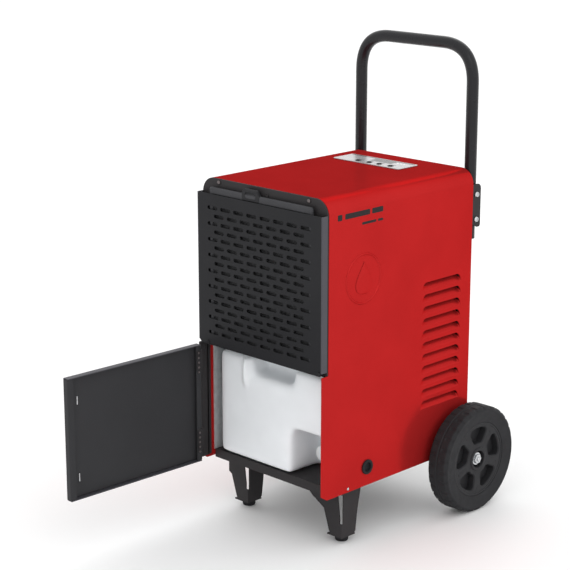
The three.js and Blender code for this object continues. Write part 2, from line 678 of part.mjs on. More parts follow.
function fanMotor() {
  return join([
    rod("y", [0, 208, FAN_Z], 44, 60, 28),
    rod("y", [0, 177, FAN_Z], 16, 3.4, 20),
    rod("y", [0, 165, FAN_Z], 4, 34, 12)]);
}

function compressor() {
  return lathe("z", [0, 292, 0], [
    [0, 136], [52, 136], [62, 146], [62, 246], [52, 268], [30, 278], [0, 280]], 24);
}

function compressorPlate() {
  const plate = roundedRect(-80, 80, 222, 362, 14);
  const post = (x, y) => rod("z", [x, y, 123.4], 9, 13, 10);
  return join([
    prismZ(plate, 129, 132, 3), post(-66, 236), post(66, 236), post(-66, 348), post(66, 348),
    box(-30, 30, 262, 322, 131, 135.7)]);
}

function refrigerantPipe(x, start, end) {
  const [x0, y0] = start;
  const path = roundedPath([start, [x0, y0, 330], [x, y0, 330], [x, y0, 440], [x, end, 440]], 18);
  return bar(path, 4, 4, 32);
}

function controlPanel() {
  const plate = roundedRect(-100, 61, 293, 348, 4);
  for (const x of buttonPlaces()) {
    const hole = new THREE.Path();
    hole.absarc(x, 305, 4.3, 0, 2 * Math.PI, false);
    plate.holes.push(hole);
  }
  plate.holes.push(polygon([[-34, 320], [-34, 340], [18, 340], [18, 320]]));
  return prismZ(plate, BODY_TOP + GAP, BODY_TOP + 1.8, 4);
}

function buttonPlaces() {
  return [-47, -20, 4, 31];
}

function pushButton(x) {
  return lathe("z", [x, 305, BODY_TOP], [[0, -2], [3.9, -2], [3.9, 3], [3.2, 3.5], [0, 3.5]], 16);
}

function displayWindow() {
  return join([
    box(-33.6, 17.6, 320.4, 339.6, BODY_TOP - 4, BODY_TOP + 1.6),
    box(-36, 20, 318, 342, BODY_TOP - 4.2, BODY_TOP - 3)]);
}

function controlBox() {
  const shell = box(-66, 50, 288, 352, 586, BODY_TOP - SHEET - GAP);
  const hollow = box(-64, 48, 290, 350, 588, BODY_TOP + 10);
  const deck = box(-65, 49, 289, 351, BODY_TOP - 10, BODY_TOP - 8);
  const vents = [0, 1, 2].map((i) => box(-70, 54, 300 + i * 16, 306 + i * 16, 596, 608));
  return cut(shell.subtract(hollow).add(deck), vents);
}

function hoseGrommet() {
  return lathe("x", [0, 117, 139], [
    [8.5, 147], [10.6, 147], [10.6, HALF_WIDTH + GAP], [13.5, HALF_WIDTH + GAP],
    [13.5, HALF_WIDTH + 2], [12.5, HALF_WIDTH + 3.4], [8.5, HALF_WIDTH + 3.4], [8.5, 147]], 20);
}

function cableGland() {
  return lathe("y", [-92, 0, 160], [
    [4, 384], [8.6, 384], [8.6, BODY_BACK - 0.9], [12, BODY_BACK - 0.9], [12, BODY_BACK + 4],
    [9, BODY_BACK + 7], [7, BODY_BACK + 15], [4, BODY_BACK + 15], [4, 384]], 16);
}

// The lever of the full-tank switch, which reaches over the tank.
function levelArm() {
  return join([
    rod("x", [ARM_X, ARM_Y, ARM_Z], 2.4, 21, 12),
    box(ARM_X - 6, ARM_X + 6, 96, ARM_Y, ARM_Z - 0.9, ARM_Z + 0.9),
    box(ARM_X - 8, ARM_X + 8, 90, 104, TANK_TOP + 0.8, ARM_Z + 1.5)]);
}

function bezelScrew() {
  return lathe("y", [109, 0, 625], [[0, 10.6], [2.6, 10.8], [3.6, 11.9], [3.6, 12.9], [0, 12.9]], 14);
}

// ---------------------------------------------------------------------- assembly
const dehumidifier = new THREE.Group();
dehumidifier.name = "dehumidifier";

function part(name, body, finish) {
  const mesh = new THREE.Mesh(geometryOf(body), new THREE.MeshStandardMaterial(FINISHES[finish]));
  mesh.name = name;
  mesh.position.y = FRAME_SHIFT;
  dehumidifier.add(mesh);
}

// The same piece on the right and, mirrored, on the left.
function pair(name, body, finish) {
  part(`${name}_right`, body, finish);
  part(`${name}_left`, mirrorX(body), finish);
}

part("hood", hood(), "red");
part("front_bezel", bezel(), "black");
pair("bezel_screw", bezelScrew(), "zinc");
part("grille_panel", grille(), "black");
part("filter_frame", filterFrame(), "greyPlastic");
part("filter_mesh", filterMesh(), "blackPlastic");
part("rear_panel", rearPanel(), "black");
part("base_tray", baseTray(), "black");
part("bay_shelf", bayShelf(), "galvanised");
part("bay_back", bayBack(), "galvanised");
pair("bay_liner", bayLiner(), "galvanised");

part("front_leg_right", leg(), "black");
part("front_leg_left", leftLeg(), "black");
pair("rubber_foot", foot(), "rubber");
pair("axle_bracket", axleBracket(), "black");
part("axle", axle(), "zinc");
pair("axle_nut", axleNut(), "zinc");
pair("tyre", tyre(), "tyre");
pair("rim", rim(), "rim");

part("handle_tube", handleTube(), "black");
pair("handle_bracket", handleBracket(), "black");
pair("handle_bolt_upper", handleBolt(583), "zinc");
pair("handle_bolt_lower", handleBolt(537), "zinc");

part("door_panel", doorPanel(), "darkDoor");
part("door_liner", doorLiner(), "darkDoor");
for (const [name, span] of Object.entries(HINGE_LEAVES)) {
  part(`door_leaf_${name}`, doorLeaf(span), "black");
  part(`hinge_${name}`, fixedLeaf(span, HINGE_STRIPS[name]), "black");
}

part("water_tank", waterTank(), "tank");
part("tank_cap", tankCap(), "whitePlastic");
part("level_arm", levelArm(), "greyPlastic");

part("evaporator", finnedCoil(30, 66), "aluminium");
part("condenser", finnedCoil(78, 114), "aluminium");
part("drip_pan", dripPan(), "blackPlastic");
part("fan_shroud", fanShroud(), "blackPlastic");
part("fan_blade", fanBlade(), "greyPlastic");
part("fan_motor", fanMotor(), "black");
part("compressor", compressor(), "black");
part("compressor_plate", compressorPlate(), "galvanised");
part("discharge_pipe", refrigerantPipe(136, [40, 292, 280.3], 114.5), "copper");
part("control_box", controlBox(), "blackPlastic");
part("control_panel", controlPanel(), "panel");
part("display_window", displayWindow(), "display");
buttonPlaces().forEach((x, i) => part(`button_${i + 1}`, pushButton(x), "blackPlastic"));
part("hose_grommet", hoseGrommet(), "rubber");
part("cable_gland", cableGland(), "blackPlastic");

export default dehumidifier;
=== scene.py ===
"""Looks of the wheeled dehumidifier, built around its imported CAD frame.

Shapes are drawn in millimetres, with x and z as in the frame and y counted
from the grille's front face, and are placed in the frame by placed().
"""

import json
from contextlib import contextmanager
from math import acos, atan2, cos, exp, pi, radians, sin, sqrt, tan, tau

import bmesh
import bpy
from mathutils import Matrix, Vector
from mathutils.geometry import tessellate_polygon


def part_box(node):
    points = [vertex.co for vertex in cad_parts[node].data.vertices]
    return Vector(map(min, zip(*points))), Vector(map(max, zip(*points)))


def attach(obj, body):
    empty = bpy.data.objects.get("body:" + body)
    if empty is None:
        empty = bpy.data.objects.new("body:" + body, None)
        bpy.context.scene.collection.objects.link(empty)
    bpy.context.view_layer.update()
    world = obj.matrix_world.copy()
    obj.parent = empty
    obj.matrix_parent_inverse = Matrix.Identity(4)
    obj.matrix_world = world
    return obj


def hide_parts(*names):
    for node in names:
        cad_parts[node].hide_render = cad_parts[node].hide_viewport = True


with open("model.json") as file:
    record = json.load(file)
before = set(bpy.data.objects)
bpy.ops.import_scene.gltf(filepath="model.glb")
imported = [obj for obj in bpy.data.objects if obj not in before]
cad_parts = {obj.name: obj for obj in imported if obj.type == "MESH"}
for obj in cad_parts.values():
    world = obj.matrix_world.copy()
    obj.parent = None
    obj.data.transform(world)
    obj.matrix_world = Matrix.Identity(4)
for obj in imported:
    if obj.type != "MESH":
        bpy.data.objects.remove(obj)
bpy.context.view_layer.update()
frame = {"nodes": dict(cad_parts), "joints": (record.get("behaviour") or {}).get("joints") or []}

MM = 0.001
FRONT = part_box("grille_panel")[0].y


def placed(point):
    """A drawing point as a point of the frame."""
    return Vector((point[0] * MM, FRONT + point[1] * MM, point[2] * MM))


def drawn(point):
    """A point of the frame as a drawing point."""
    return Vector((point.x / MM, (point.y - FRONT) / MM, point.z / MM))


def span(node):
    """Lowest and highest corner of a CAD node, in drawing millimetres."""
    return [drawn(corner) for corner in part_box(node)]


def middle(node):
    low, high = span(node)
    return (low + high) / 2


# ------------------------------------------------------------------ driving sizes
HOOD_LOW, HOOD_HIGH = span("hood")
BEZEL_LOW, BEZEL_HIGH = span("front_bezel")
GRILLE_LOW, GRILLE_HIGH = span("grille_panel")
FILTER_LOW, FILTER_HIGH = span("filter_frame")
TANK_LOW, TANK_HIGH = span("water_tank")
TYRE_LOW, TYRE_HIGH = span("tyre_right")
RIM_LOW, RIM_HIGH = span("rim_right")
TUBE_LOW, TUBE_HIGH = span("handle_tube")
BRACKET_LOW, BRACKET_HIGH = span("handle_bracket_right")
PANEL_LOW, PANEL_HIGH = span("control_panel")
REAR_LOW, REAR_HIGH = span("rear_panel")

HALF_WIDTH = HOOD_HIGH.x
SHEET = 2.0
BEND = 28.0
BEND_STEPS = 14
EAR_TOP = GRILLE_LOW.z - 1
UPPER_FRONT = BEZEL_HIGH.y + 0.3

WHEEL_Y = (TYRE_LOW.y + TYRE_HIGH.y) / 2
WHEEL_Z = (TYRE_LOW.z + TYRE_HIGH.z) / 2
WHEEL_RADIUS = (TYRE_HIGH.y - TYRE_LOW.y) / 2

DOOR_HINGE = next(j for j in frame["joints"] if j["name"] == "door_hinge")
HINGE_X = DOOR_HINGE["pos_m"][0] / MM
HINGE_Y = (DOOR_HINGE["pos_m"][1] - FRONT) / MM
DOOR_ANGLE = radians(-DOOR_HINGE["range_deg"][0])


# ---------------------------------------------------------------------- materials
def srgb(red, green, blue):
    """A colour given in 0-255 screen values, as the linear colour of a shader."""
    linear = [((c / 255 + 0.055) / 1.055) ** 2.4 for c in (red, green, blue)]
    return (*linear, 1.0)


def feed(node, sockets):
    """Gives sockets of a shader node a constant or another node's output."""
    for name, value in sockets.items():
        if isinstance(value, bpy.types.NodeSocket):
            node.id_data.links.new(value, node.inputs[name])
        else:
            node.inputs[name].default_value = value


def new_node(tree, kind, sockets, **settings):
    made = tree.nodes.new(kind)
    for key, value in settings.items():
        setattr(made, key, value)
    feed(made, sockets)
    return made


class Recipe:
    """A procedural material with a Principled shader and object coordinates."""

    def __init__(self, name, colour, roughness, **sockets):
        self.material = bpy.data.materials.new(name)
        self.material.use_nodes = True
        self.material.diffuse_color = colour
        self.tree = self.material.node_tree
        self.colour = colour
        self.normal = None
        self.place = self.node("ShaderNodeTexCoord", {}).outputs["Object"]
        self.shade(Base_Color=colour, Roughness=roughness, **sockets)

    def node(self, kind, sockets, **settings):
        return new_node(self.tree, kind, sockets, **settings)

    def shade(self, **sockets):
        """Sets sockets of the Principled shader. Their names have underscores for spaces."""
        sockets = {name.replace("_", " "): value for name, value in sockets.items()}
        feed(self.tree.nodes["Principled BSDF"], sockets)
        return self

    def noise(self, size, detail=2.0, stretch=None):
        """Noise whose features are about that many millimetres across, scaled along each axis."""
        place = self.place
        if stretch:
            place = self.node("ShaderNodeMapping", {"Vector": place, "Scale": stretch}).outputs["Vector"]
        sockets = {"Vector": place, "Scale": 1 / (size * MM), "Detail": detail}
        return self.node("ShaderNodeTexNoise", sockets).outputs["Fac"]

    def cells(self, size, output="Color"):
        sockets = {"Vector": self.place, "Scale": 1 / (size * MM)}
        return self.node("ShaderNodeTexVoronoi", sockets).outputs[output]

    def bands(self, pitch, axis):
        """A wave across an axis that repeats after about that many millimetres."""
        sockets = {"Vector": self.place, "Scale": 1 / (pitch * MM) / tau * 2}
        wave = self.node("ShaderNodeTexWave", sockets, wave_type="BANDS", bands_direction=axis)
        return wave.outputs["Fac"]

    def ramp(self, factor, stops):
        """The factor mapped through two coloured stops."""
        made = self.node("ShaderNodeValToRGB", {"Fac": factor})
        for element, (position, colour) in zip(made.color_ramp.elements, stops):
            element.position = position
            element.color = colour
        return made.outputs["Color"]

    def bump(self, height, strength, depth):
        """Adds relief of about that many millimetres."""
        sockets = {"Height": height, "Strength": strength, "Distance": depth * MM}
        if self.normal:
            sockets["Normal"] = self.normal
        self.normal = self.node("ShaderNodeBump", sockets).outputs["Normal"]
        return self.shade(Normal=self.normal)

    def tint(self, factor, low, high):
        """Base colour that runs between two shades of itself."""
        darker, lighter = ((*(min(1.0, c * k) for c in self.colour[:3]), 1.0) for k in (low, high))
        return self.shade(Base_Color=self.ramp(factor, [(0.3, darker), (0.7, lighter)]))

    def gloss(self, factor, low, high):
        """Roughness that runs between two values."""
        sockets = {"Value": factor, "From Min": 0.3, "From Max": 0.7, "To Min": low, "To Max": high}
        return self.shade(Roughness=self.node("ShaderNodeMapRange", sockets).outputs["Result"])


def powder_coat(name, colour, low, high, texture, **sockets):
    """Baked powder paint: orange peel, a fine tooth and faint clouding."""
    recipe = Recipe(name, colour, (low + high) / 2, **sockets)
    recipe.tint(recipe.noise(90, 3), 0.96, 1.05)
    recipe.gloss(recipe.noise(26, 4), low, high)
    recipe.bump(recipe.noise(2.6, 1), texture, 0.05)
    return recipe.bump(recipe.noise(0.45, 3), texture * 1.6, 0.02).material


def moulding(name, colour, roughness, grain=0.3, size=0.7, **sockets):
    """Moulded plastic or rubber: spark-eroded grain and slight flow marks."""
    recipe = Recipe(name, colour, roughness, **sockets)
    recipe.tint(recipe.noise(40, 4), 0.93, 1.08)
    recipe.gloss(recipe.noise(12, 4), roughness - 0.07, roughness + 0.09)
    recipe.bump(recipe.cells(size, "Distance"), grain, 0.05)
    return recipe.bump(recipe.noise(9, 2), 0.12, 0.12).material


def bare_metal(name, colour, low, high, grain, stretch=(1, 1, 1)):
    """Plated or drawn metal: patchy dullness and a fine grain, drawn out into lines by a stretch."""
    recipe = Recipe(name, colour, (low + high) / 2, Metallic=1.0)
    recipe.tint(recipe.noise(14, 5), 0.86, 1.08)
    recipe.gloss(recipe.noise(5, 5), low, high)
    return recipe.bump(recipe.noise(1.2, 3, stretch), grain, 0.03).material


def galvanised_sheet():
    """Zinc spangle: flat crystals that differ in shade and dullness."""
    recipe = Recipe("galvanised_sheet", srgb(205, 208, 209), 0.42, Metallic=0.6)
    crystals = recipe.cells(7)
    recipe.tint(crystals, 0.93, 1.04)
    recipe.gloss(crystals, 0.34, 0.5)
    return recipe.bump(crystals, 0.15, 0.04).material


def finned_block():
    """Thin upright fins, closely spaced, with painted shade in the gaps between them."""
    recipe = Recipe("coil_fins", srgb(176, 180, 184), 0.4, Metallic=0.85)
    fins = recipe.bands(2.0, "X")
    # The dark stop is painted shade for the gaps between the fins of the solid block; the light stop is the
    # fins' metal.
    dark, light = srgb(30, 31, 33), srgb(186, 190, 193)
    recipe.shade(Base_Color=recipe.ramp(fins, [(0.25, dark), (0.6, light)]))
    return recipe.bump(fins, 0.8, 0.6).bump(recipe.noise(6, 3), 0.3, 0.4).material


def filter_cloth():
    """A woven filter mesh: crossed threads, with painted shade in the gaps between them."""
    recipe = Recipe("filter_threads", srgb(28, 28, 30), 0.7)
    threads = {i: recipe.bands(1.6, axis) for i, axis in enumerate("XZ")}
    taller = recipe.node("ShaderNodeMath", threads, operation="MAXIMUM").outputs["Value"]
    # Between the threads the colour drops to a quarter: painted shade in the gaps.
    return recipe.tint(taller, 0.25, 1.5).bump(taller, 0.8, 0.3).material


SEAM_HALF_WIDTH = 0.7


def tank_polythene():
    """Blow-moulded polythene: milky, softly wavy, with a parting line."""
    recipe = Recipe("tank_polythene", srgb(238, 241, 244), 0.42, Subsurface_Weight=0.1,
                    Subsurface_Radius=(0.012, 0.012, 0.012), Subsurface_Scale=0.5)
    recipe.tint(recipe.noise(55, 2), 0.97, 1.02)
    recipe.gloss(recipe.noise(8, 4), 0.34, 0.5)
    across = recipe.node("ShaderNodeSeparateXYZ", {"Vector": recipe.place}).outputs["Y"]
    compared = {0: across, 1: placed(middle("water_tank")).y, 2: SEAM_HALF_WIDTH * MM}
    seam = recipe.node("ShaderNodeMath", compared, operation="COMPARE")
    recipe.bump(seam.outputs["Value"], 0.35, 0.5)
    recipe.bump(recipe.noise(34, 1), 0.25, 1.0)
    return recipe.bump(recipe.noise(0.8, 2), 0.12, 0.05).material


RED = powder_coat("red_gloss_coat", srgb(179, 39, 39), 0.17, 0.23, 0.04, Metallic=0.4,
                  Specular_IOR_Level=0.0, Specular_Tint=srgb(120, 20, 22))
BLACK = powder_coat("black_fine_coat", srgb(50, 48, 49), 0.42, 0.52, 0.22, Specular_IOR_Level=0.12)
GRILLE_BLACK = powder_coat("grille_coat", srgb(40, 40, 42), 0.4, 0.5, 0.2, Specular_IOR_Level=0.08)
# A lighter copy of the black coat, used on the grille's and the door's flanges: painted highlight where
# those flanges turn towards the light.
FLANGE_PAINTED_HIGHLIGHT = powder_coat("flange_painted_highlight_coat", srgb(76, 75, 80), 0.34, 0.44, 0.2, Specular_IOR_Level=0.12)
HANDLE_BLACK = powder_coat("handle_coat", srgb(25, 25, 28), 0.22, 0.3, 0.1, Specular_IOR_Level=0.3)
DOOR_GREY = powder_coat("door_coat", srgb(52, 52, 54), 0.44, 0.54, 0.2, Specular_IOR_Level=0.12)
ZINC = bare_metal("bright_zinc", srgb(204, 206, 208), 0.2, 0.34, 0.15)
DULL_ZINC = bare_metal("dull_zinc", srgb(112, 104, 104), 0.3, 0.42, 0.15)
COPPER = bare_metal("drawn_copper", srgb(190, 120, 82), 0.24, 0.4, 0.2, (1, 1, 0.1))
GALVANISED = galvanised_sheet()
COIL = finned_block()
THREADS = filter_cloth()
TANK = tank_polythene()
WHITE = moulding("white_moulding", srgb(236, 237, 237), 0.38, 0.12, 0.5)
BLACK_PLASTIC = moulding("black_moulding", srgb(38, 38, 40), 0.5, Specular_IOR_Level=0.15)
FRAME_GREY = moulding("filter_moulding", srgb(58, 58, 61), 0.44, 0.2, Specular_IOR_Level=0.2)
GREY_PLASTIC = moulding("grey_moulding", srgb(140, 143, 146), 0.5)
RUBBER = moulding("foot_rubber", srgb(36, 36, 38), 0.68, 0.35, 0.9, Specular_IOR_Level=0.15)
TYRE = moulding("tyre_rubber", srgb(42, 42, 44), 0.66, 0.4, 1.1, Specular_IOR_Level=0.15)
RIM = moulding("rim_moulding", srgb(43, 43, 45), 0.55, 0.4, 0.9, Specular_IOR_Level=0.15)
FILM = powder_coat("panel_film", srgb(186, 184, 186), 0.24, 0.3, 0.06, Metallic=0.35)
PRINT = powder_coat("dark_print", srgb(34, 30, 31), 0.4, 0.48, 0.08, Specular_IOR_Level=0.15)
GLASS = moulding("smoked_window", srgb(16, 22, 26), 0.16, 0.04, 0.5)


# ------------------------------------------------------------------- mesh drawing
def turned(vector, angle):
    """A flat vector turned anticlockwise."""
    c, s = cos(angle), sin(angle)
    return Vector((vector.x * c - vector.y * s, vector.x * s + vector.y * c))


def fillet(points, radius, closed=True, steps=5):
    """An outline or path with its corners rounded. The radius is one number or one per corner."""
    rounded = []
    last = len(points) - 1
    for i, point in enumerate(points):
        corner = Vector(point)
        wanted = radius[i] if isinstance(radius, (list, tuple)) else radius
        if wanted <= 0 or (not closed and i in (0, last)):
            rounded.append(corner)
            continue
        before = Vector(points[i - 1]) - corner
        after = Vector(points[(i + 1) % len(points)]) - corner
        room = 0.495 * min(before.length, after.length)
        before.normalize()
        after.normalize()
        half = acos(max(-1.0, min(1.0, before.dot(after)))) / 2
        if half > pi / 2 - 0.02:
            rounded.append(corner)
            continue
        reach = min(wanted / tan(half), room)
        centre = corner + (before + after).normalized() * (reach / cos(half))
        start, end = corner + before * reach - centre, corner + after * reach - centre
        sweep = atan2(start.x * end.y - start.y * end.x, start.dot(end))
        rounded += [centre + turned(start, sweep * k / steps) for k in range(steps + 1)]
    return rounded


def rectangle(u0, u1, v0, v1, corner=0, steps=5):
    """A rectangle's outline, with its corners rounded where a radius is given."""
    return fillet([(u0, v0), (u1, v0), (u1, v1), (u0, v1)], corner, steps=steps)


def circle(u, v, radius, count=32):
    turns = [tau * i / count for i in range(count)]
    return [Vector((u + radius * cos(turn), v + radius * sin(turn))) for turn in turns]


def mitred(loop, distance, closed=True):
    """The outline moved to its left by that distance, corner by corner."""
    moved = []
    count = len(loop)
    for i, point in enumerate(loop):
        before = point - loop[i - 1] if closed or i > 0 else loop[1] - loop[0]
        after = loop[(i + 1) % count] - point if closed or i < count - 1 else point - loop[i - 1]
        if before.length < 1e-6:
            before = after
        if after.length < 1e-6:
            after = before
        before, after = before.normalized(), after.normalized()
        left = Vector((-before.y, before.x))
        mitre = left + Vector((-after.y, after.x))
        mitre = left if mitre.length < 1e-6 else mitre.normalized()
        moved.append(point + mitre * (distance / max(0.35, mitre.dot(left))))
    return moved


def facing(loop, anticlockwise):
    loop = [Vector(p) for p in loop]
    twice_area = sum(a.x * b.y - b.x * a.y for a, b in zip(loop, loop[1:] + loop[:1]))
    return loop if (twice_area > 0) == anticlockwise else loop[::-1]


LIFT = {
    "x": lambda p, t: (t, p[0], p[1]),
    "y": lambda p, t: (p[0], t, p[1]),
    "z": lambda p, t: (p[0], p[1], t),
}


def grid(rows, ring=False, tube=False):
    """Faces through rows of points. A ring's rows are closed, and a tube's last row meets its first."""
    count = len(rows[0])
    faces = []
    for r in range(len(rows) if tube else len(rows) - 1):
        low, high = r * count, (r + 1) % len(rows) * count
        for i in range(count if ring else count - 1):
            j = (i + 1) % count
            faces.append((low + i, low + j, high + j, high + i))
    return [p for row in rows for p in row], faces


def joined(*meshes):
    points, faces = [], []
    for more_points, more_faces in meshes:
        first = len(points)
        points += more_points
        faces += [tuple(first + i for i in face) for face in more_faces]
    return points, faces


def sheet_faces(loops):
    """Triangles that fill the first loop but for the others."""
    return [tuple(face) for face in tessellate_polygon([[p.to_3d() for p in loop] for loop in loops])]


def plate(loops, axis, t0, t1, chamfer=0.4):
    """A flat piece between t0 and t1 along an axis. The first loop is its outline, the others are holes."""
    loops = [facing(loop, i == 0) for i, loop in enumerate(loops)]
    edge = min(chamfer, (t1 - t0) * 0.45)
    small = [mitred(loop, edge) for loop in loops]
    lift = LIFT[axis]
    parts = []
    for loop, inner in zip(loops, small):
        rows = ((t0, inner), (t0 + edge, loop), (t1 - edge, loop), (t1, inner))
        parts.append(grid([[lift(p, t) for p in row] for t, row in rows], ring=True))
    faces = sheet_faces(small)
    parts += [([lift(p, t) for loop in small for p in loop], faces) for t in (t0, t1)]
    return joined(*parts)


def folded(path, bend, thickness, axis, t0, t1, chamfer=0.3):
    """A sheet bent along a path, its thickness to the path's left, between t0 and t1 along an axis."""
    path = fillet(path, bend, closed=False)
    return plate([path + mitred(path, thickness, closed=False)[::-1]], axis, t0, t1, chamfer)


def lathe(axis, centre, profile, segments=48):
    """A body of revolution. The profile holds (radius, distance along the axis) pairs."""
    turns = [tau * i / segments for i in range(segments)]
    rows = []
    for radius, t in profile:
        row = [LIFT[axis]((radius * cos(turn), radius * sin(turn)), t) for turn in turns]
        rows.append([tuple(c + p for c, p in zip(centre, point)) for point in row])
    return grid(rows, ring=True)


def turned_part(axis, centre, profile, radius=0.8, segments=48, steps=4):
    """A lathe body whose profile corners are rounded."""
    return lathe(axis, centre, fillet(profile, radius, closed=False, steps=steps), segments)


def swept_tube(path, radius, sides=32):
    """A round tube with closed ends along a path in one upright plane facing Y."""
    rings = []
    last = len(path) - 1
    for i, point in enumerate(path):
        ahead = (path[min(i + 1, last)] - path[max(i - 1, 0)]).normalized()
        across = Vector((0, 1, 0))
        outward = ahead.cross(across)
        turns = [tau * k / sides for k in range(sides)]
        rings.append([point + across * (radius * cos(t)) + outward * (radius * sin(t)) for t in turns])
    points, faces = grid(rings, ring=True)
    return points, [*faces, tuple(range(sides)), tuple(last * sides + k for k in range(sides))]


def mirrored(mesh):
    points, faces = mesh
    return [(-p[0], p[1], p[2]) for p in points], faces


def shifted(mesh, x, z):
    points, faces = mesh
    return [(p[0] + x, p[1], p[2] + z) for p in points], faces


@contextmanager
def edited(data):
    """Lets a block change a mesh as a BMesh."""
    form = bmesh.new()
    form.from_mesh(data)
    yield form
    form.to_mesh(data)
    form.free()


def mesh_data(name, mesh, closed=True):
    """A drawn mesh as Blender data, its doubles merged and a closed body's faces turned outwards."""
    points, faces = mesh
    data = bpy.data.meshes.new(name)
    data.from_pydata([placed(p) for p in points], [], faces)
    with edited(data) as form:
        bmesh.ops.remove_doubles(form, verts=form.verts, dist=1e-6)
        if closed:
            bmesh.ops.recalc_face_normals(form, faces=form.faces)
    return data


def object_of(name, data):
    made = bpy.data.objects.new(name, data)
    bpy.context.scene.collection.objects.link(made)
    return made


def piece(name, mesh, material, body="root", stands_for=(), sharp=32):
    """Makes a drawn mesh an object that rides on a CAD body and stands for CAD nodes."""
    dressed(name, mesh_data(name, mesh), material, body, stands_for, sharp)


def dressed(name, data, material, body, stands_for=(), sharp=32):
    """An object with that mesh, smooth-shaded up to the sharp angle, in its place."""
    data.shade_smooth()
    data.set_sharp_from_angle(angle=radians(sharp))
    data.materials.clear()
    data.materials.append(material)
    made = object_of(name, data)
    flats = made.modifiers.new("even flats", "WEIGHTED_NORMAL")
    flats.keep_sharp = True
    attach(made, body)
    if stands_for:
        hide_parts(*stands_for)
    return made


def pair(name, mesh, material, body="root", stands_for="", sharp=32):
    """The same piece on the right and, mirrored, on the left. A body like wheel_ gets its side too."""
    for side, shape in (("right", mesh), ("left", mirrored(mesh))):
        on = body + side if body.endswith("_") else body
        nodes = [f"{stands_for}_{side}"] if stands_for else []
        piece(f"{name}_{side}", shape, material, on, nodes, sharp)


def screw(axis, centre, radius, height):
    """A pan-head screw with a dished recess, from its seat out to its signed height."""
    profile = [(0, 0), (1, 0), (1, 0.35), (0.93, 0.7), (0.7, 0.93), (0.42, 1), (0.2, 0.6), (0, 0.5)]
    return lathe(axis, centre, [(r * radius, t * height) for r, t in profile], 24)


# -------------------------------------------------------------------------- hood
LOUVRES = 11
LOUVRE_PITCH = 22.1
LOUVRE_LOWEST = 209.0
LOUVRE_HEIGHT = 15.0
LOUVRE_FRONT = 258.0
LOUVRE_BACK = 366.0
LOUVRE_DEPTH = 14.0
LOUVRE_CORNER = 12.0
LOUVRE_FRONT_RAMP = 20.0
LOUVRE_BACK_RAMP = 6.0
LOUVRE_ROWS = 9
LOUVRE_TOP = LOUVRE_LOWEST + (LOUVRES - 1) * LOUVRE_PITCH + LOUVRE_HEIGHT + 4
END_STATIONS = (0, 0.35, 1.2, 2.6, 4.6, 7.2, 9.8, 12, 16, 20)
FOOT_CUT_RISE = 9.0
FOOT_CUT_BACK = 14.7
AXLE_NOTCH = 8.0
HOSE_HOLE = (117, 139, 11)
PANEL_LAP_X, PANEL_LAP_Y = 10.0, 4.0


def louvre_stations():
    """Distances along a louvre, closer together at its rounded ends."""
    length = LOUVRE_BACK - LOUVRE_FRONT
    between = [length * k for k in (0.3, 0.4, 0.5, 0.6, 0.7)]
    return [*END_STATIONS, *between, *(length - e for e in reversed(END_STATIONS))]


def louvre_height(station):
    """How tall the window is there: the full height, with rounded upper corners."""
    from_end = min(station, LOUVRE_BACK - LOUVRE_FRONT - station)
    t = min(1.0, from_end / LOUVRE_CORNER)
    return LOUVRE_HEIGHT * sqrt(max(0.0, 1 - (1 - t) ** 2))


def louvre_depth(station, share):
    """How far the blade is pressed in, from nothing at its foot and its ends."""
    to_back = LOUVRE_BACK - LOUVRE_FRONT - station
    ramp = min(1.0, station / LOUVRE_FRONT_RAMP, to_back / LOUVRE_BACK_RAMP)
    return LOUVRE_DEPTH * share ** 1.1 * sin(ramp * pi / 2)


def louvre_column():
    """The pressed blades, joined to the sheet at foot and ends, and the flat strips between them."""
    stations = louvre_stations()
    parts = []
    for k in range(LOUVRES):
        foot = LOUVRE_LOWEST + k * LOUVRE_PITCH
        blade = []
        for row in range(LOUVRE_ROWS):
            share = row / (LOUVRE_ROWS - 1)
            blade.append([
                (HALF_WIDTH - louvre_depth(s, share), LOUVRE_FRONT + s, foot + share * louvre_height(s))
                for s in stations])
        above = foot + LOUVRE_PITCH if k < LOUVRES - 1 else LOUVRE_TOP
        strip = [
            [(HALF_WIDTH, LOUVRE_FRONT + s, foot + louvre_height(s)) for s in stations],
            [(HALF_WIDTH, LOUVRE_FRONT + s, above) for s in stations]]
        parts += [grid(blade), grid(strip)]
    return joined(*parts)


def hood_side(hose_hole):
    """The right-hand side sheet, flat but for its louvres."""
    turns = [radians(145 - 11 * k) for k in range(11)]
    front, back, foot, bend = HOOD_LOW.y, HOOD_HIGH.y, HOOD_LOW.z, HOOD_HIGH.z - BEND
    outline = [
        Vector((front, foot + FOOT_CUT_RISE)), Vector((FOOT_CUT_BACK, foot)),
        *(Vector((WHEEL_Y + AXLE_NOTCH * cos(t), WHEEL_Z + AXLE_NOTCH * sin(t))) for t in turns),
        Vector((back, foot)), Vector((back, bend)), Vector((UPPER_FRONT, bend)),
        Vector((UPPER_FRONT, EAR_TOP)), Vector((front, EAR_TOP))]
    loops = [outline, rectangle(LOUVRE_FRONT, LOUVRE_BACK, LOUVRE_LOWEST, LOUVRE_TOP)]
    if hose_hole:
        loops.append(circle(*HOSE_HOLE))
    sheet = ([(HALF_WIDTH, *p) for loop in loops for p in loop], sheet_faces(loops))
    return joined(sheet, louvre_column())


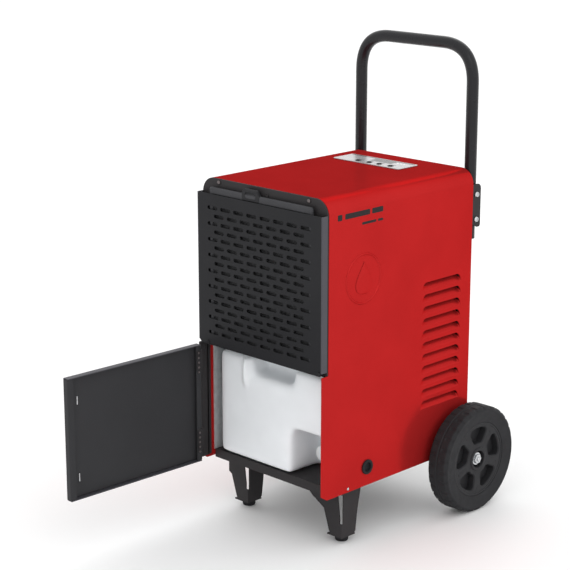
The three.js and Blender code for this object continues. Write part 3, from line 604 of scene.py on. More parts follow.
def hood_top():
    """The top and the two bends, with the control panel's cut-out."""
    bends = []
    for side in (1, -1):
        rows = []
        for k in range(BEND_STEPS + 1):
            turn = pi / 2 * k / BEND_STEPS
            x = side * (HALF_WIDTH - BEND + BEND * cos(turn))
            z = HOOD_HIGH.z - BEND + BEND * sin(turn)
            rows.append([(x, UPPER_FRONT, z), (x, HOOD_HIGH.y, z)])
        bends.append(grid(rows))
    flat_half = HALF_WIDTH - BEND
    loops = [
        rectangle(-flat_half, flat_half, UPPER_FRONT, HOOD_HIGH.y),
        rectangle(
            PANEL_LOW.x + PANEL_LAP_X, PANEL_HIGH.x - PANEL_LAP_X,
            PANEL_LOW.y + PANEL_LAP_Y, PANEL_HIGH.y - PANEL_LAP_Y)]
    return joined(*bends, ([(*p, HOOD_HIGH.z) for loop in loops for p in loop], sheet_faces(loops)))


def applied(maker):
    """The mesh an object has once its modifiers are applied. The object is removed."""
    ready = maker.evaluated_get(bpy.context.evaluated_depsgraph_get())
    data = bpy.data.meshes.new_from_object(ready)
    bpy.data.objects.remove(maker)
    return data


def make_hood():
    """The skin with its faces turned outwards, thickened inwards."""
    skin = joined(hood_side(True), mirrored(hood_side(False)), hood_top())
    maker = object_of("hood_skin", mesh_data("hood_skin", skin, closed=False))
    bend = (HOOD_HIGH.z - BEND) * MM
    with edited(maker.data) as form:
        form.normal_update()
        for face in form.faces:
            centre = face.calc_center_median()
            # Outwards is sideways, and mostly upwards for a face above the foot of the bends.
            outward = Vector((centre.x, 0, max(0.0, centre.z - bend) * 10))
            if face.normal.dot(outward) < 0:
                face.normal_flip()
    sheet = maker.modifiers.new("sheet", "SOLIDIFY")
    sheet.thickness = SHEET * MM
    sheet.offset = -1
    dressed("hood_sheet", applied(maker), RED, "root", ["hood"], sharp=30)


# ------------------------------------------------------------- marks on the side
EMBLEM_Y, EMBLEM_Z = 103.0, 483.0
EMBLEM_RADIUS = 45.0
EMBLEM_RISE = 1.5
DROP_SCALE = 33.0
# Bars of print that say nothing: from and to along Y, then from and to along Z.
SIDE_BARS = (
    (37, 48, 592.5, 603), (55, 117, 593, 602.5), (122, 150, 593, 602.5), (97, 133, 577.5, 582),
    (137, 150, 577.5, 582))


def drop_outline(steps=40):
    """A water drop, point upwards."""
    outline = []
    for i in range(steps):
        turn = tau * i / steps
        across = 0.9 * sin(turn) * sin(turn / 2) ** 1.6
        upwards = 0.04 + 0.86 * cos(turn)
        outline.append(Vector((EMBLEM_Y + DROP_SCALE * across, EMBLEM_Z + DROP_SCALE * upwards)))
    return outline


def make_marks():
    r, rise = EMBLEM_RADIUS, EMBLEM_RISE
    ring = lathe("x", (HALF_WIDTH, EMBLEM_Y, EMBLEM_Z), [
        (r - 4.2, -0.2), (r - 3.4, 0.6 * rise), (r - 2.6, rise), (r - 1.4, rise), (r - 0.6, 0.6 * rise),
        (r, -0.2)], 96)
    drop = plate([drop_outline()], "x", HALF_WIDTH - 0.3, HALF_WIDTH + rise, 1.2)
    piece("side_emblem", joined(ring, drop), RED, sharp=60)
    prints = [
        plate([rectangle(*bar, 2.2)], "x", HALF_WIDTH - 0.1, HALF_WIDTH + 0.12, 0.05) for bar in SIDE_BARS]
    piece("side_bars", joined(*prints), PRINT)


# --------------------------------------------------------------- bezel and grille
SLOT_ROWS = 17
SLOT_ROW_PITCH = 14.2
SLOTS_IN_ROW = 8
SLOT_PITCH = 32.4
SLOT_LENGTH = 24.5
SLOT_HEIGHT = 6.4
FIRST_SLOT = 24.5
GRILLE_BEND = 2.0
GRILLE_SHEET = 1.5
GRILLE_CORNER = 4.0
BEZEL_OPENING = (-130, 130, 345, 592)
BEZEL_RIVET = (10, 620)


def slots():
    """The grille's slots: rows of eight and of seven, half a pitch apart."""
    half, high = SLOT_LENGTH / 2, SLOT_HEIGHT / 2
    made = []
    for row in range(SLOT_ROWS):
        z = GRILLE_HIGH.z - FIRST_SLOT - row * SLOT_ROW_PITCH
        count = SLOTS_IN_ROW - row % 2
        for i in range(count):
            x = (i - (count - 1) / 2) * SLOT_PITCH
            made.append(rectangle(x - half, x + half, z - high, z + high, high * 0.98, steps=4))
    return made


def make_grille():
    """The slotted face with its sill, the side flanges, and small fittings at the lower corners."""
    bend, cut = GRILLE_BEND, GRILLE_CORNER
    low, high, depth = GRILLE_LOW.z, GRILLE_HIGH.z, GRILLE_HIGH.y
    edge, foot = HALF_WIDTH - bend, low + bend
    face = [
        (cut - edge, foot), (edge - cut, foot), (edge, foot + cut), (edge, high), (-edge, high),
        (-edge, foot + cut)]
    front = plate([face, *slots()], "y", 0, GRILLE_SHEET, 0.35)
    side_path = [(edge - 0.5, 0), (HALF_WIDTH, 0), (HALF_WIDTH, depth)]
    flange = folded(side_path, bend, GRILLE_SHEET, "z", foot + cut, high)
    foot_path = [(0, foot + 0.5), (0, low), (depth, low)]
    sill = folded(foot_path, bend, GRILLE_SHEET, "x", cut - edge, edge - cut)
    piece("grille_face", joined(front, sill), GRILLE_BLACK, stands_for=["grille_panel"])
    # The side flanges are the grille's own black paint, lightened here as painted highlight.
    piece("grille_flanges", joined(flange, mirrored(flange)), FLANGE_PAINTED_HIGHLIGHT)

    stud = [(0, 0.3), (3.6, 0.3), (3.6, -2.6), (1.6, -2.6), (1.4, -2), (0, -2)]
    buffer = turned_part("y", (0, 0, 0), stud)
    for side, x in (("right", HALF_WIDTH - 6), ("left", 24 - HALF_WIDTH)):
        piece(f"door_buffer_{side}", shifted(buffer, x, low + 5), BLACK_PLASTIC)
    left = -HALF_WIDTH
    corner = plate([rectangle(-0.6, 16, low - 8, low, 1)], "x", left - 0.2, left + 3, 0.4)
    piece("hinge_corner", corner, BLACK)
    inside = left + SHEET
    strip = plate([rectangle(16, 25, DOOR_FOOT + 3, DOOR_TOP - 3)], "x", inside + 0.1, inside + 1.3, 0.3)
    piece("hinge_strip", strip, BLACK)


def make_bezel():
    """The frame round the filter, as wide and as round as the hood, with a blind rivet and two screws."""
    face = BEZEL_LOW.y
    corners = [0, 0, BEND, BEND]
    outline = rectangle(-HALF_WIDTH, HALF_WIDTH, BEZEL_LOW.z, HOOD_HIGH.z, corners, BEND_STEPS)
    sheet = plate([outline, rectangle(*BEZEL_OPENING, 6)], "y", face, BEZEL_HIGH.y, 0.8)
    rivet = turned_part("y", (0, 0, 0), [
        (0, face - 0.1), (3.6, face - 0.1), (3.6, face - 1.2), (2.2, face - 1.2), (1.8, face - 0.5),
        (0, face - 0.5)], 0.4)
    whole = joined(sheet, shifted(rivet, *BEZEL_RIVET))
    piece("bezel_frame", whole, BLACK, stands_for=["front_bezel"])
    low, high = span("bezel_screw_right")
    seat = middle("bezel_screw_right")
    seat.y = high.y
    head = screw("y", seat, (high.x - low.x) / 2, low.y - high.y)
    pair("bezel_pan_screw", head, DULL_ZINC, stands_for="bezel_screw")


# ------------------------------------------------------------------------ filter
RAIL_TOP = 617.0
RAIL_HEIGHT = 13.0
BORDER = 8.0
RIB_HALF = 1.4
RIB_DEPTH = 1.8
UPRIGHT_RIBS = (-58, 0, 58)
LEVEL_RIBS = (409, 474, 539)
TAB_HOLLOW = (-34, -10, 611, 620)


def make_filter():
    """The slide-in frame, its long rounded top rail and its pull tab."""
    left, right, foot, top = FILTER_LOW.x, FILTER_HIGH.x, FILTER_LOW.z, FILTER_HIGH.z
    y0, y1 = FILTER_LOW.y, FILTER_HIGH.y
    window = rectangle(left + BORDER, right - BORDER, foot + BORDER, RAIL_TOP - RAIL_HEIGHT, 2)
    border = plate([rectangle(left, right, foot, RAIL_TOP, 5), window], "y", y0 + 0.5, y1 - 0.5, 1.8)
    piece("filter_surround", border, FRAME_GREY, "filter", ["filter_frame"])

    x0, x1, z0, z1 = left + BORDER - 1, right - BORDER + 1, foot + BORDER - 1, RAIL_TOP - RAIL_HEIGHT + 1
    ribs = [(rectangle(x - RIB_HALF, x + RIB_HALF, z0, z1), 2.1) for x in UPRIGHT_RIBS]
    ribs += [(rectangle(x0, x1, z - RIB_HALF, z + RIB_HALF), 2.2) for z in LEVEL_RIBS]
    ribs = [plate([rib], "y", y0 + depth, y0 + depth + RIB_DEPTH, 0.5) for rib, depth in ribs]
    piece("filter_ribs", joined(*ribs), BLACK_PLASTIC, "filter")

    outline = fillet(
        [(-43, 605), (1, 605), (1, 616), (-7, top), (-38, top), (-43, 619)], [1, 1, 3, 4, 4, 3])
    tab = plate([outline, rectangle(*TAB_HOLLOW, 3)], "y", y0, y1, 1.2)
    x0, x1, z0, z1 = TAB_HOLLOW
    web = plate([rectangle(x0 - 1, x1 + 1, z0 - 1, z1 + 1, 3)], "y", y0 + 2.2, y1 - 1, 0.3)
    piece("filter_tab", joined(tab, web), BLACK_PLASTIC, "filter")


# -------------------------------------------------------------------------- door
DOOR_START = 5.6
DOOR_END = 301.0
DOOR_DEPTH = 12.8
DOOR_SHEET = 1.5
DOOR_BEND = 2.2
DOOR_LIP = 12.0
DOOR_FOOT, DOOR_TOP = (c.z for c in span("door_panel"))
RIVETS = 5
RIVET_PITCH = 9.0


def opened(mesh):
    """A mesh drawn on the closed door, turned to the door's place at rest."""
    points, faces = mesh
    moved = []
    for x, y, z in points:
        arm = turned(Vector((x - HINGE_X, y - HINGE_Y)), -DOOR_ANGLE)
        moved.append((HINGE_X + arm.x, HINGE_Y + arm.y, z))
    return moved, faces


def make_door():
    """A pan with lips and flanges, its inner skin, two bright strips painted as highlights on two slits in
    the lip, and the rivets of the hinge leaves.
    """
    x0, x1 = HINGE_X + DOOR_START, HINGE_X + DOOR_END
    bend, deep = DOOR_BEND, DOOR_DEPTH
    path = [(x0 + DOOR_LIP, deep), (x0, deep), (x0, 0), (x1, 0), (x1, deep), (x1 - DOOR_LIP, deep)]
    skin = folded(path, bend, DOOR_SHEET, "z", DOOR_FOOT + bend, DOOR_TOP - bend, 0.25)
    piece("door_pan", opened(skin), DOOR_GREY, "door", ["door_panel"])
    flanges = []
    for edge, inward in ((DOOR_TOP, -1), (DOOR_FOOT, 1)):
        path = [(0, edge + inward * (bend + 0.4)), (0, edge), (deep, edge)]
        flanges.append(folded(path, bend, DOOR_SHEET * inward, "x", x0 + 1, x1 - 1, 0.25))
    # The flanges are the door's own paint, lightened here as painted highlight.
    piece("door_flanges", opened(joined(*flanges)), FLANGE_PAINTED_HIGHLIGHT, "door")
    # Two bright zinc strips: painted highlights where the lip has two slits.
    slit_highlights = [
        plate([rectangle(x1 - 25.5, x1 - 23.5, z, z + 15)], "y", 4.9, 5.9, 0.3)
        for z in (DOOR_FOOT + 30, DOOR_TOP - 52)]
    piece("door_slit_highlights", opened(joined(*slit_highlights)), ZINC, "door")
    levels = [DOOR_TOP - 14 - RIVET_PITCH * k for k in range(RIVETS)]
    levels += [DOOR_FOOT + 20 + RIVET_PITCH * k for k in range(RIVETS)]
    head = [(2.0, deep - 0.1), (2.0, deep + 2.0), (1.2, deep + 2.6), (0, deep + 2.7)]
    rivets = [lathe("y", (x0 + 7, 0, z), head, 16) for z in levels]
    piece("door_rivets", opened(joined(*rivets)), DULL_ZINC, "door")
    inner = plate([rectangle(x0 + 2, x1 - 2, DOOR_FOOT + 2, DOOR_TOP - 2, 3)], "y", 1.9, 5.0, 0.8)
    piece("door_backing", opened(inner), DOOR_GREY, "door", ["door_liner"])


# -------------------------------------------------------------------------- tank
TANK_VOXEL = 3.0
TANK_EASING = 110
TANK_WALL = 2.5
BLOCK_OVERLAP = 6.0
GRIP_HALF = 51.0
GRIP_FLOOR = 283.0
GRIP_BACK = 76.0
NOTCH_LEFT = 46.0
NOTCH_TOP = 203.0
NOTCH_BACK = 108.0
FRONT_WALL_END = 60.0
BEAD_X, BEAD_HALF, BEAD_FOOT, BEAD_RISE = -64.0, 6.5, 262.0, 6.5
LEDGE_Z, LEDGE_HALF, LEDGE_END, LEDGE_RISE = 271.0, 6.0, 50.0, 1.2
INLET = Vector((-40, 110))
INLET_RADIUS = 22.0
CAP_RIBS = 30
CAP_BORE = 11.4
CAP_SKIN = 3.5


def tank_blocks():
    """Overlapping blocks that fill the tank's form, but for the grip and the cap's notch."""
    left, right = TANK_LOW.x, TANK_HIGH.x
    front, back = TANK_LOW.y, TANK_HIGH.y
    low, high = TANK_LOW.z, TANK_HIGH.z
    over = BLOCK_OVERLAP
    return [
        (left, right, NOTCH_BACK, back, low, high),
        (left, NOTCH_LEFT, front, NOTCH_BACK + over, low, GRIP_FLOOR),
        (NOTCH_LEFT - over, right, front, NOTCH_BACK + over, NOTCH_TOP, GRIP_FLOOR),
        (left, -GRIP_HALF, front, NOTCH_BACK + over, GRIP_FLOOR - over, high),
        (GRIP_HALF, right, front, NOTCH_BACK + over, GRIP_FLOOR - over, high),
        (-GRIP_HALF - over, GRIP_HALF + over, GRIP_BACK, NOTCH_BACK + over, GRIP_FLOOR - over, high)]


def tank_swell(point):
    """How far the front wall stands out: soft beads to the left of the grip and below it."""
    x, y, z = point
    if y > FRONT_WALL_END:
        return 0.0
    beside_grip = exp(-((x - BEAD_X) / BEAD_HALF) ** 2) / (1 + exp((BEAD_FOOT - z) / 4))
    below_grip = exp(-((z - LEDGE_Z) / LEDGE_HALF) ** 2) / (1 + exp((abs(x) - LEDGE_END) / 5))
    return BEAD_RISE * beside_grip + LEDGE_RISE * below_grip


def tank_skin():
    """The blocks melted into one soft body, with its beads and the inlet's opening in the top."""
    blocks = [
        plate([rectangle(x0, x1, z0, z1)], "y", y0, y1, 0.01) for x0, x1, y0, y1, z0, z1 in tank_blocks()]
    blank = object_of("tank_blank", mesh_data("tank_blank", joined(*blocks), closed=False))
    remesh = blank.modifiers.new("voxels", "REMESH")
    remesh.mode = "VOXEL"
    remesh.voxel_size = TANK_VOXEL * MM
    ease = blank.modifiers.new("ease", "SMOOTH")
    ease.factor = 0.5
    ease.iterations = TANK_EASING
    skin = applied(blank)
    with edited(skin) as form:
        for vertex in form.verts:
            vertex.co.y -= tank_swell(drawn(vertex.co)) * MM
        gone = []
        for face in form.faces:
            centre = drawn(face.calc_center_median())
            if centre.z > TANK_HIGH.z - 6 and (centre.xy - INLET).length < INLET_RADIUS + 1.5:
                gone.append(face)
        bmesh.ops.delete(form, geom=gone, context="FACES")
    return skin


def make_tank():
    tank = dressed("tank_shell", tank_skin(), TANK, "tank", ["water_tank"], sharp=70)
    wall = tank.modifiers.new("wall", "SOLIDIFY")
    wall.thickness = TANK_WALL * MM
    wall.offset = -1
    tank.modifiers.move(len(tank.modifiers) - 1, 0)
    r, top = INLET_RADIUS, TANK_HIGH.z
    collar = turned_part("z", (*INLET, 0), [
        (r - 0.5, top - 6), (r + 4.5, top - 3), (r + 3.5, top), (r, top), (r - 0.5, top - 6)], 0.6, steps=3)
    cap = middle("tank_cap")
    root, end = NOTCH_BACK + 4, span("tank_cap")[0].y + 4
    spout = turned_part("y", (cap.x, 0, cap.z), [
        (8.5, root), (14, root), (11, root - 8), (11, end), (8.5, end), (8.5, root)], 0.9)
    piece("tank_fittings", joined(collar, spout), TANK, "tank", sharp=40)


def make_cap():
    """The drain cap, with fine grip ribs round its edge."""
    low, high = span("tank_cap")
    centre = middle("tank_cap")
    radius = (high.x - low.x) / 2
    floor = low.y + CAP_SKIN
    profile = [
        (0, low.y), (radius - 0.1, low.y), (radius - 0.1, high.y), (CAP_BORE, high.y), (CAP_BORE, floor),
        (0, floor)]
    rounding = [0, 2.2, 0.4, 0.3, 0.3, 0]
    points, faces = turned_part("y", (centre.x, 0, centre.z), profile, rounding, 8 * CAP_RIBS, 5)
    ribbed = []
    for x, y, z in points:
        arm = Vector((x - centre.x, z - centre.z))
        if arm.length > radius - 1.2 and y > low.y + 2.49:
            arm *= 1 - 0.035 * (0.5 + 0.5 * cos(CAP_RIBS * atan2(arm.y, arm.x)))
        ribbed.append((centre.x + arm.x, y, centre.z + arm.y))
    piece("drain_cap", (ribbed, faces), WHITE, "tank_cap", ["tank_cap"], sharp=40)


# ------------------------------------------------------------------------ wheels
TREAD_BLOCKS = 30
TREAD_STEPS = 10
TREAD_DEPTH = 1.4
TREAD_COLUMNS = 16
TREAD_RADIUS = 95.0
SHOULDER_RADIUS = 94.0
WALL_RADIUS = 88.0
POCKETS = 5
POCKET_SPREAD = 0.44
POCKET_INNER, POCKET_OUTER = 31.0, 61.0
HUB_BORE = 18.0
SEAT_RADIUS = 65.5
AXLE = (0, WHEEL_Y, WHEEL_Z)


def tyre_section():
    """The tyre's section from bead to bead, with extra points across the tread."""
    inner, outer = TYRE_LOW.x, TYRE_HIGH.x
    bead = RIM_HIGH.z - WHEEL_Z + 0.3
    section = fillet([
        (bead, inner + 4), (WALL_RADIUS, inner + 1.5), (SHOULDER_RADIUS, inner), (WHEEL_RADIUS, inner + 5),
        (WHEEL_RADIUS, outer - 5), (SHOULDER_RADIUS, outer), (WALL_RADIUS, outer - 1.5), (bead, outer - 4)],
        [0, 6, 5, 3.5, 3.5, 5, 6, 0], closed=False, steps=4)
    columns = range(1, TREAD_COLUMNS)
    tread = [Vector((WHEEL_RADIUS, inner + 5 + (outer - inner - 10) * k / TREAD_COLUMNS)) for k in columns]
    half = len(section) // 2
    return section[:half] + tread + section[half:]


def make_tyre():
    """Blocks along both shoulders, half a block apart, and a groove round the middle of the tread."""
    middle_x = (TYRE_LOW.x + TYRE_HIGH.x) / 2
    half = (TYRE_HIGH.x - TYRE_LOW.x) / 2
    section = tyre_section()
    steps = TREAD_BLOCKS * TREAD_STEPS
    rows = []
    for i in range(steps):
        turn = tau * i / steps
        row = []
        for radius, x in section:
            across = (x - middle_x) / half
            phase = (i / TREAD_STEPS + (0.5 if across > 0 else 0.0)) % 1.0
            on_tread = radius > TREAD_RADIUS
            cut = TREAD_DEPTH if on_tread and phase < 0.2 and abs(across) > 0.22 else 0.0
            groove = TREAD_DEPTH - 0.1 if on_tread and abs(across) < 0.07 else 0.0
            reach = radius - max(cut, groove)
            row.append((x, WHEEL_Y + reach * sin(turn), WHEEL_Z - reach * cos(turn)))
        rows.append(row)
    pair("tyre_tread", grid(rows, ring=True, tube=True), TYRE, "wheel_", "tyre", sharp=28)


def kidney(bearing, spread, r0, r1, corner):
    """A kidney-shaped hole about the wheel's centre, with round corners."""
    outer = [bearing + spread * k for k in (-1, -1 / 3, 1 / 3, 1)]
    inner = [bearing + spread * k for k in (0.8, 0, -0.8)]
    loop = [Vector((WHEEL_Y + r1 * cos(a), WHEEL_Z + r1 * sin(a))) for a in outer]
    loop += [Vector((WHEEL_Y + r0 * cos(a), WHEEL_Z + r0 * sin(a))) for a in inner]
    return fillet(loop, [corner, 40, 40, corner, corner, 40, corner])


def make_rim():
    """A web with blind pockets, the sheet behind it, the flange under the tyre, the hub and small marks."""
    low, high = RIM_LOW.x, RIM_HIGH.x
    inner, outer = TYRE_LOW.x, TYRE_HIGH.x
    radius = (RIM_HIGH.y - RIM_LOW.y) / 2
    disc = circle(WHEEL_Y, WHEEL_Z, radius, 96)
    bore = circle(WHEEL_Y, WHEEL_Z, HUB_BORE, 48)
    step = tau / POCKETS
    holes = [kidney(pi / 2 + step * i, POCKET_SPREAD, POCKET_INNER, POCKET_OUTER, 9) for i in range(POCKETS)]
    web = plate([disc, bore, *holes], "x", outer - 22, outer - 5.4, 1.8)
    backing = plate([disc, bore], "x", inner + 6.2, outer - 20, 1)
    flange = turned_part("x", AXLE, [
        (SEAT_RADIUS, inner + 8), (SEAT_RADIUS + 0.7, outer - 4.7), (radius, outer - 4.3),
        (radius, inner + 4.2), (SEAT_RADIUS, inner + 4.6), (SEAT_RADIUS, inner + 8)], segments=96)
    hub = turned_part("x", AXLE, [
        (7.2, low + 0.2), (22, low + 0.2), (22, high - 2.6), (16, high - 2.6), (15.6, high - 21.5),
        (7.2, high - 21.5), (7.2, low + 0.2)], [0, 2, 2.4, 1.2, 2, 0, 0], 64, 5)
    marks = []
    for i in range(POCKETS):
        spot = circle(WHEEL_Y, WHEEL_Z, 57, 4 * POCKETS)[(7 + 4 * i) % (4 * POCKETS)]
        marks.append(lathe("x", (outer - 5.4, *spot), [(0, 0.5), (1.6, 0.4), (2.2, -0.4)], 20))
    pair("wheel_disc", joined(web, backing, flange, hub, *marks), RIM, "wheel_", "rim", sharp=34)


def make_axle_nut():
    seat, end = (c.x for c in span("axle_nut_right"))
    washer = turned_part("x", AXLE, [(0, seat), (12, seat), (12, seat + 2), (0, seat + 2)], 0.7)
    nut = plate([circle(WHEEL_Y, WHEEL_Z, 9, 6)], "x", seat + 2, seat + 6.2, 0.9)
    stud = turned_part("x", AXLE, [(0, seat + 5), (4.6, seat + 5), (4.6, end), (0, end)], 1.4)
    pair("hub_nut", joined(washer, nut, stud), ZINC, stands_for="axle_nut")


# ------------------------------------------------------------------------ handle
TUBE_RADIUS = 11.0
HANDLE_SETBACK = 68.75
HANDLE_ARC_STEPS = 22
BRACKET_SHEET = 1.6
BRACKET_RISE = 7.0


def handle_path():
    """The push handle's centreline: two uprights and two wide bends."""
    x = TUBE_HIGH.x - TUBE_RADIUS
    y = middle("handle_tube").y
    top = TUBE_HIGH.z - TUBE_RADIUS
    foot = TUBE_LOW.z
    corners = [Vector(p) for p in ((-x, y, foot), (-x, y, top), (x, y, top), (x, y, foot))]
    path = [corners[0], corners[0] + Vector((0, 0, 20))]
    for before, corner, after in zip(corners, corners[1:], corners[2:]):
        start = corner + (before - corner).normalized() * HANDLE_SETBACK
        end = corner + (after - corner).normalized() * HANDLE_SETBACK
        for k in range(HANDLE_ARC_STEPS + 1):
            t = k / HANDLE_ARC_STEPS
            path.append(start * (1 - t) ** 2 + corner * (2 * t * (1 - t)) + end * t ** 2)
    return [*path, corners[3] + Vector((0, 0, 20)), corners[3]]


def make_handle():
    """The bent tube, and on each side a folded angle with two screws."""
    tube = swept_tube(handle_path(), TUBE_RADIUS - 0.05)
    piece("handle_bar", tube, HANDLE_BLACK, stands_for=["handle_tube"], sharp=40)
    x0, y0, z0 = BRACKET_LOW
    x1, y1, z1 = BRACKET_HIGH
    sheet, skin, bend = BRACKET_SHEET, 2.4, 3.0
    foot = z0 + BRACKET_RISE
    flank = fillet([(y0 + bend, foot), (y1 - 9, z0), (y1, z0), (y1, z1), (y0 + bend, z1)], [0, 3, 6, 9, 0])
    side = plate([flank], "x", x1 - skin, x1)
    fold_path = [(x1 - bend - 0.2, y0), (x1, y0), (x1, y0 + bend + 0.2)]
    fold = folded(fold_path, bend, sheet, "z", foot, z1)
    back = plate([rectangle(x0, x1 - bend, foot, z1, [7, 0, 0, 7])], "y", y0, y0 + sheet, 0.3)
    pair("handle_angle", joined(side, fold, back), BLACK, stands_for="handle_bracket")
    for level in ("upper", "lower"):
        low, high = span(f"handle_bolt_{level}_right")
        seat = middle(f"handle_bolt_{level}_right")
        seat.x = low.x
        r, rise = 0.8 * (high.y - low.y) / 2, high.x - low.x
        head = turned_part("x", seat, [
            (0, 0), (r, 0), (r, 0.3 * rise), (0.78 * r, 0.8 * rise), (0.45 * r, rise),
            (0.38 * r, 0.45 * rise), (0, 0.45 * rise)], 0.5)
        pair(f"handle_screw_{level}", head, ZINC, stands_for=f"handle_bolt_{level}")


# -------------------------------------------------------------- controls and back
WINDOW = (-34, 18, 320, 340)
LAMPS = 3
PRINT_RISE = 0.1


def make_controls():
    """The panel with its window, lamps and buttons, and rings and bars of print that say nothing."""
    low, high = PANEL_LOW, PANEL_HIGH
    top = high.z
    buttons = [f"button_{i}" for i in range(1, 5)]
    spots = [middle(button).xy for button in buttons]
    holes = [circle(*spot, 4.3) for spot in spots]
    outline = rectangle(low.x, high.x, low.y, high.y, 4)
    film = plate([outline, *holes, rectangle(*WINDOW, 1)], "z", low.z, top, 0.35)
    piece("panel_plate", film, FILM, stands_for=["control_panel"])

    ring = [(4.5, top - 0.1), (4.7, top + 0.16), (6.2, top + 0.16), (6.4, top - 0.1)]
    rings = [lathe("z", (*spot, 0), ring, 40) for spot in spots]
    bars = [rectangle(low.x + 4, high.x - 4, high.y - 6.5, high.y - 3.5, 1)]
    bars += [rectangle(x - 6, x + 6, y + 8, y + 9.4, 0.5) for x, y in spots]
    prints = [plate([bar], "z", top - PRINT_RISE, top + PRINT_RISE, 0.05) for bar in bars]
    piece("panel_print", joined(*rings, *prints), PRINT)

    dome = [(2, top - 0.1), (1.8, top + 0.5), (1.1, top + 0.9), (0, top + 1)]
    lamps = [lathe("z", (28 + 7 * i, 330, 0), dome, 24) for i in range(LAMPS)]
    piece("panel_lamps", joined(*lamps), WHITE)
    x0, x1, y0, y1 = WINDOW
    window_low, window_high = span("display_window")
    pane = rectangle(x0 + 0.4, x1 - 0.4, y0 + 0.4, y1 - 0.4, 1)
    glass = plate([pane], "z", window_low.z, window_high.z, 0.5)
    piece("display_glass", glass, GLASS, stands_for=["display_window"])
    for i, (button, spot) in enumerate(zip(buttons, spots), 1):
        a, b = span(button)
        r = (b.x - a.x) / 2
        profile = [(0, a.z), (r, a.z), (r, b.z), (r / 2, b.z - 0.25), (0, b.z - 0.3)]
        cap = turned_part("z", (*spot, 0), profile, 0.7)
        piece(f"button_cap_{i}", cap, BLACK_PLASTIC, button, [button])


VENT_ROWS = 9
VENT_PITCH = 16.0
VENT_FOOT = 420.0
VENT_COLUMNS = (-66, 0, 66)


def make_back():
    """The rear sheet with its vents, the hole for the cable gland, and its screws."""
    low, high = REAR_LOW, REAR_HIGH
    outline = rectangle(-high.x, high.x, low.z, high.z, [2, 2, 24, 24], 8)
    vents = []
    for row in range(VENT_ROWS):
        z = VENT_FOOT + row * VENT_PITCH
        vents += [rectangle(x - 26, x + 26, z - 2.6, z + 2.6, 2.5, 4) for x in VENT_COLUMNS]
    sheet = plate([outline, *vents, circle(-92, 160, 9)], "y", low.y, high.y)
    piece("back_sheet", sheet, BLACK, stands_for=["rear_panel"])
    spots = [(x, z) for x in (-138, 138) for z in (150, 290, 430, 570)]
    spots += [(x, z) for z in (618, 128) for x in (-50, 50)]
    heads = [screw("y", (x, high.y, z), 3.4, 1.0) for x, z in spots]
    piece("back_screws", joined(*heads), ZINC)


# -------------------------------------------------------------------- small parts
SIDE_SCREW = (HALF_WIDTH, 68, 111)


def make_bush():
    """The hose bush in the side, closed by a plug."""
    low, high = span("hose_grommet")
    centre = (0, middle("hose_grommet").y, middle("hose_grommet").z)
    skin = HALF_WIDTH
    ring = turned_part("x", centre, [
        (8.5, low.x), (10.6, low.x), (10.6, skin + 0.3), (13.5, skin + 0.3), (13.5, high.x - 1),
        (12, high.x), (9.5, high.x), (8.5, high.x - 1.2), (8.5, low.x)])
    plug = lathe("x", centre, [(8.5, skin - 1.5), (8.2, skin - 2.2), (0, skin - 2.4)])
    piece("hose_bush", joined(ring, plug), RUBBER, stands_for=["hose_grommet"])


def make_gland():
    """The cable gland in the back, with its hexagon."""
    low, high = span("cable_gland")
    x, _, z = middle("cable_gland")
    seat = HOOD_HIGH.y - 0.9
    body = turned_part("y", (x, 0, z), [
        (4, low.y), (8.4, low.y), (8.4, seat), (12, seat), (12, seat + 5), (8.6, seat + 8), (7, high.y),
        (4.6, high.y), (4, high.y - 1.5), (4, low.y)], 0.7)
    nut = plate([circle(x, z, 12, 6), circle(x, z, 7)], "y", seat + 0.4, seat + 4.6, 0.6)
    piece("gland_body", joined(body, nut), BLACK_PLASTIC, stands_for=["cable_gland"])


def make_feet():
    low, high = span("rubber_foot_right")
    centre = middle("rubber_foot_right")
    centre.z = 0
    r = (high.x - low.x) / 2
    foot = turned_part("z", centre, [
        (0, 0), (r - 1.2, 0), (r, 2.2), (r, 8), (r - 0.8, 8.6), (r - 0.8, 9.6), (r, 10.2),
        (r - 0.4, high.z), (0, high.z)], 0.6)
    pair("foot_pad", foot, RUBBER, stands_for="rubber_foot")


def make_side_screws():
    head = screw("x", SIDE_SCREW, 2.6, 1.1)
    piece("side_screw", head, ZINC)
    piece("side_screw_far", mirrored(head), ZINC)


# --------------------------------------------------------- CAD nodes that are shown
SHOWN_AS_IS = {
    BLACK: ("base_tray", "front_leg_left", "front_leg_right", "axle_bracket_left", "axle_bracket_right",
            "hinge_upper", "hinge_lower", "door_leaf_upper", "door_leaf_lower", "fan_motor", "compressor"),
    GALVANISED: ("bay_shelf", "bay_back", "bay_liner_left", "bay_liner_right", "compressor_plate"),
    BLACK_PLASTIC: ("drip_pan", "fan_shroud", "control_box"),
    GREY_PLASTIC: ("fan_blade", "level_arm"),
    COIL: ("evaporator", "condenser"),
    THREADS: ("filter_mesh",),
    COPPER: ("discharge_pipe",),
    ZINC: ("axle",),
}
EASED_EDGES = ("base_tray", "front_leg_left", "front_leg_right", "hinge_upper", "hinge_lower",
               "door_leaf_upper", "door_leaf_lower", "level_arm", "drip_pan", "compressor", "fan_motor")


def dress_cad_nodes():
    for material, names in SHOWN_AS_IS.items():
        for name in names:
            node = frame["nodes"][name]
            node.data.materials.clear()
            node.data.materials.append(material)
    for name in EASED_EDGES:
        ease = frame["nodes"][name].modifiers.new("eased edges", "BEVEL")
        ease.width = 0.35 * MM
        ease.segments = 2
        ease.limit_method = "ANGLE"
        ease.angle_limit = radians(40)


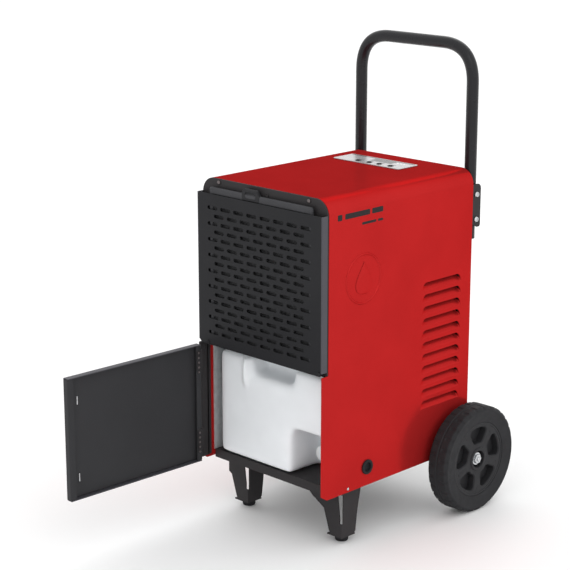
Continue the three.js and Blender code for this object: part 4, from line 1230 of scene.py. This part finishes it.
# -------------------------------------------------------------------------- stage
FLOOR_HALF = 70.0
BRIGHT_SIDE = Vector((0.62, 0.3, 0.72)).normalized()
DARKEST, BRIGHTEST = 0.97, 1.22
LIGHT_AIM = Vector((0, 0, 0.35))
LIGHT_SIZE = 2.2
LIGHT_POWER = 14
LIGHTS = {"key": (3.2, -2.2, 3.6), "rear": (-1.5, 3.0, 3.4)}
CAMERA_PLACE = (2.04826, -2.08670, 1.22533)
CAMERA_DIP = 0.2600386
CAMERA_TURN = 0.7797885
CAMERA_LENS = 108.853


def make_floor():
    size = FLOOR_HALF
    data = bpy.data.meshes.new("floor")
    corners = [(-size, -size, 0), (size, -size, 0), (size, size, 0), (-size, size, 0)]
    data.from_pydata(corners, [], [(0, 1, 2, 3)])
    recipe = Recipe("floor_white", (0.94, 0.94, 0.94, 1), 0.6, Specular_IOR_Level=0.1)
    recipe.tint(recipe.noise(600, 2), 0.995, 1.005)
    data.materials.append(recipe.material)
    object_of("floor", data)


def make_surround():
    """A white surround that is a little brighter above and towards the right and the rear."""
    world = bpy.data.worlds.new("studio")
    bpy.context.scene.world = world
    world.use_nodes = True
    tree = world.node_tree
    bearing = new_node(tree, "ShaderNodeTexCoord", {}).outputs["Generated"]
    sockets = {0: bearing, 1: BRIGHT_SIDE}
    towards = new_node(tree, "ShaderNodeVectorMath", sockets, operation="DOT_PRODUCT").outputs["Value"]
    sockets = {"Value": towards, "From Min": -1, "To Min": DARKEST, "To Max": BRIGHTEST}
    strength = new_node(tree, "ShaderNodeMapRange", sockets).outputs["Result"]
    feed(tree.nodes["Background"], {"Strength": strength, "Color": (1, 1, 1, 1)})


def make_lights():
    for name, place in LIGHTS.items():
        light = bpy.data.lights.new(name, "AREA")
        light.shape = "SQUARE"
        light.size = LIGHT_SIZE
        light.energy = LIGHT_POWER
        lamp = object_of(name, light)
        lamp.location = place
        lamp.rotation_euler = (LIGHT_AIM - Vector(place)).to_track_quat("-Z", "Y").to_euler()


def make_camera():
    lens = bpy.data.cameras.new("camera")
    lens.sensor_width = 36.0
    lens.lens = CAMERA_LENS
    lens.clip_end = 60
    camera = object_of("camera", lens)
    camera.location = CAMERA_PLACE
    camera.rotation_euler = (pi / 2 - CAMERA_DIP, 0, CAMERA_TURN)
    bpy.context.scene.camera = camera


make_hood()
make_marks()
make_grille()
make_bezel()
make_filter()
make_door()
make_tank()
make_cap()
make_tyre()
make_rim()
make_axle_nut()
make_handle()
make_controls()
make_back()
make_bush()
make_side_screws()
make_gland()
make_feet()
dress_cad_nodes()
make_floor()
make_surround()
make_lights()
make_camera()
bpy.context.scene.view_settings.view_transform = "Standard"
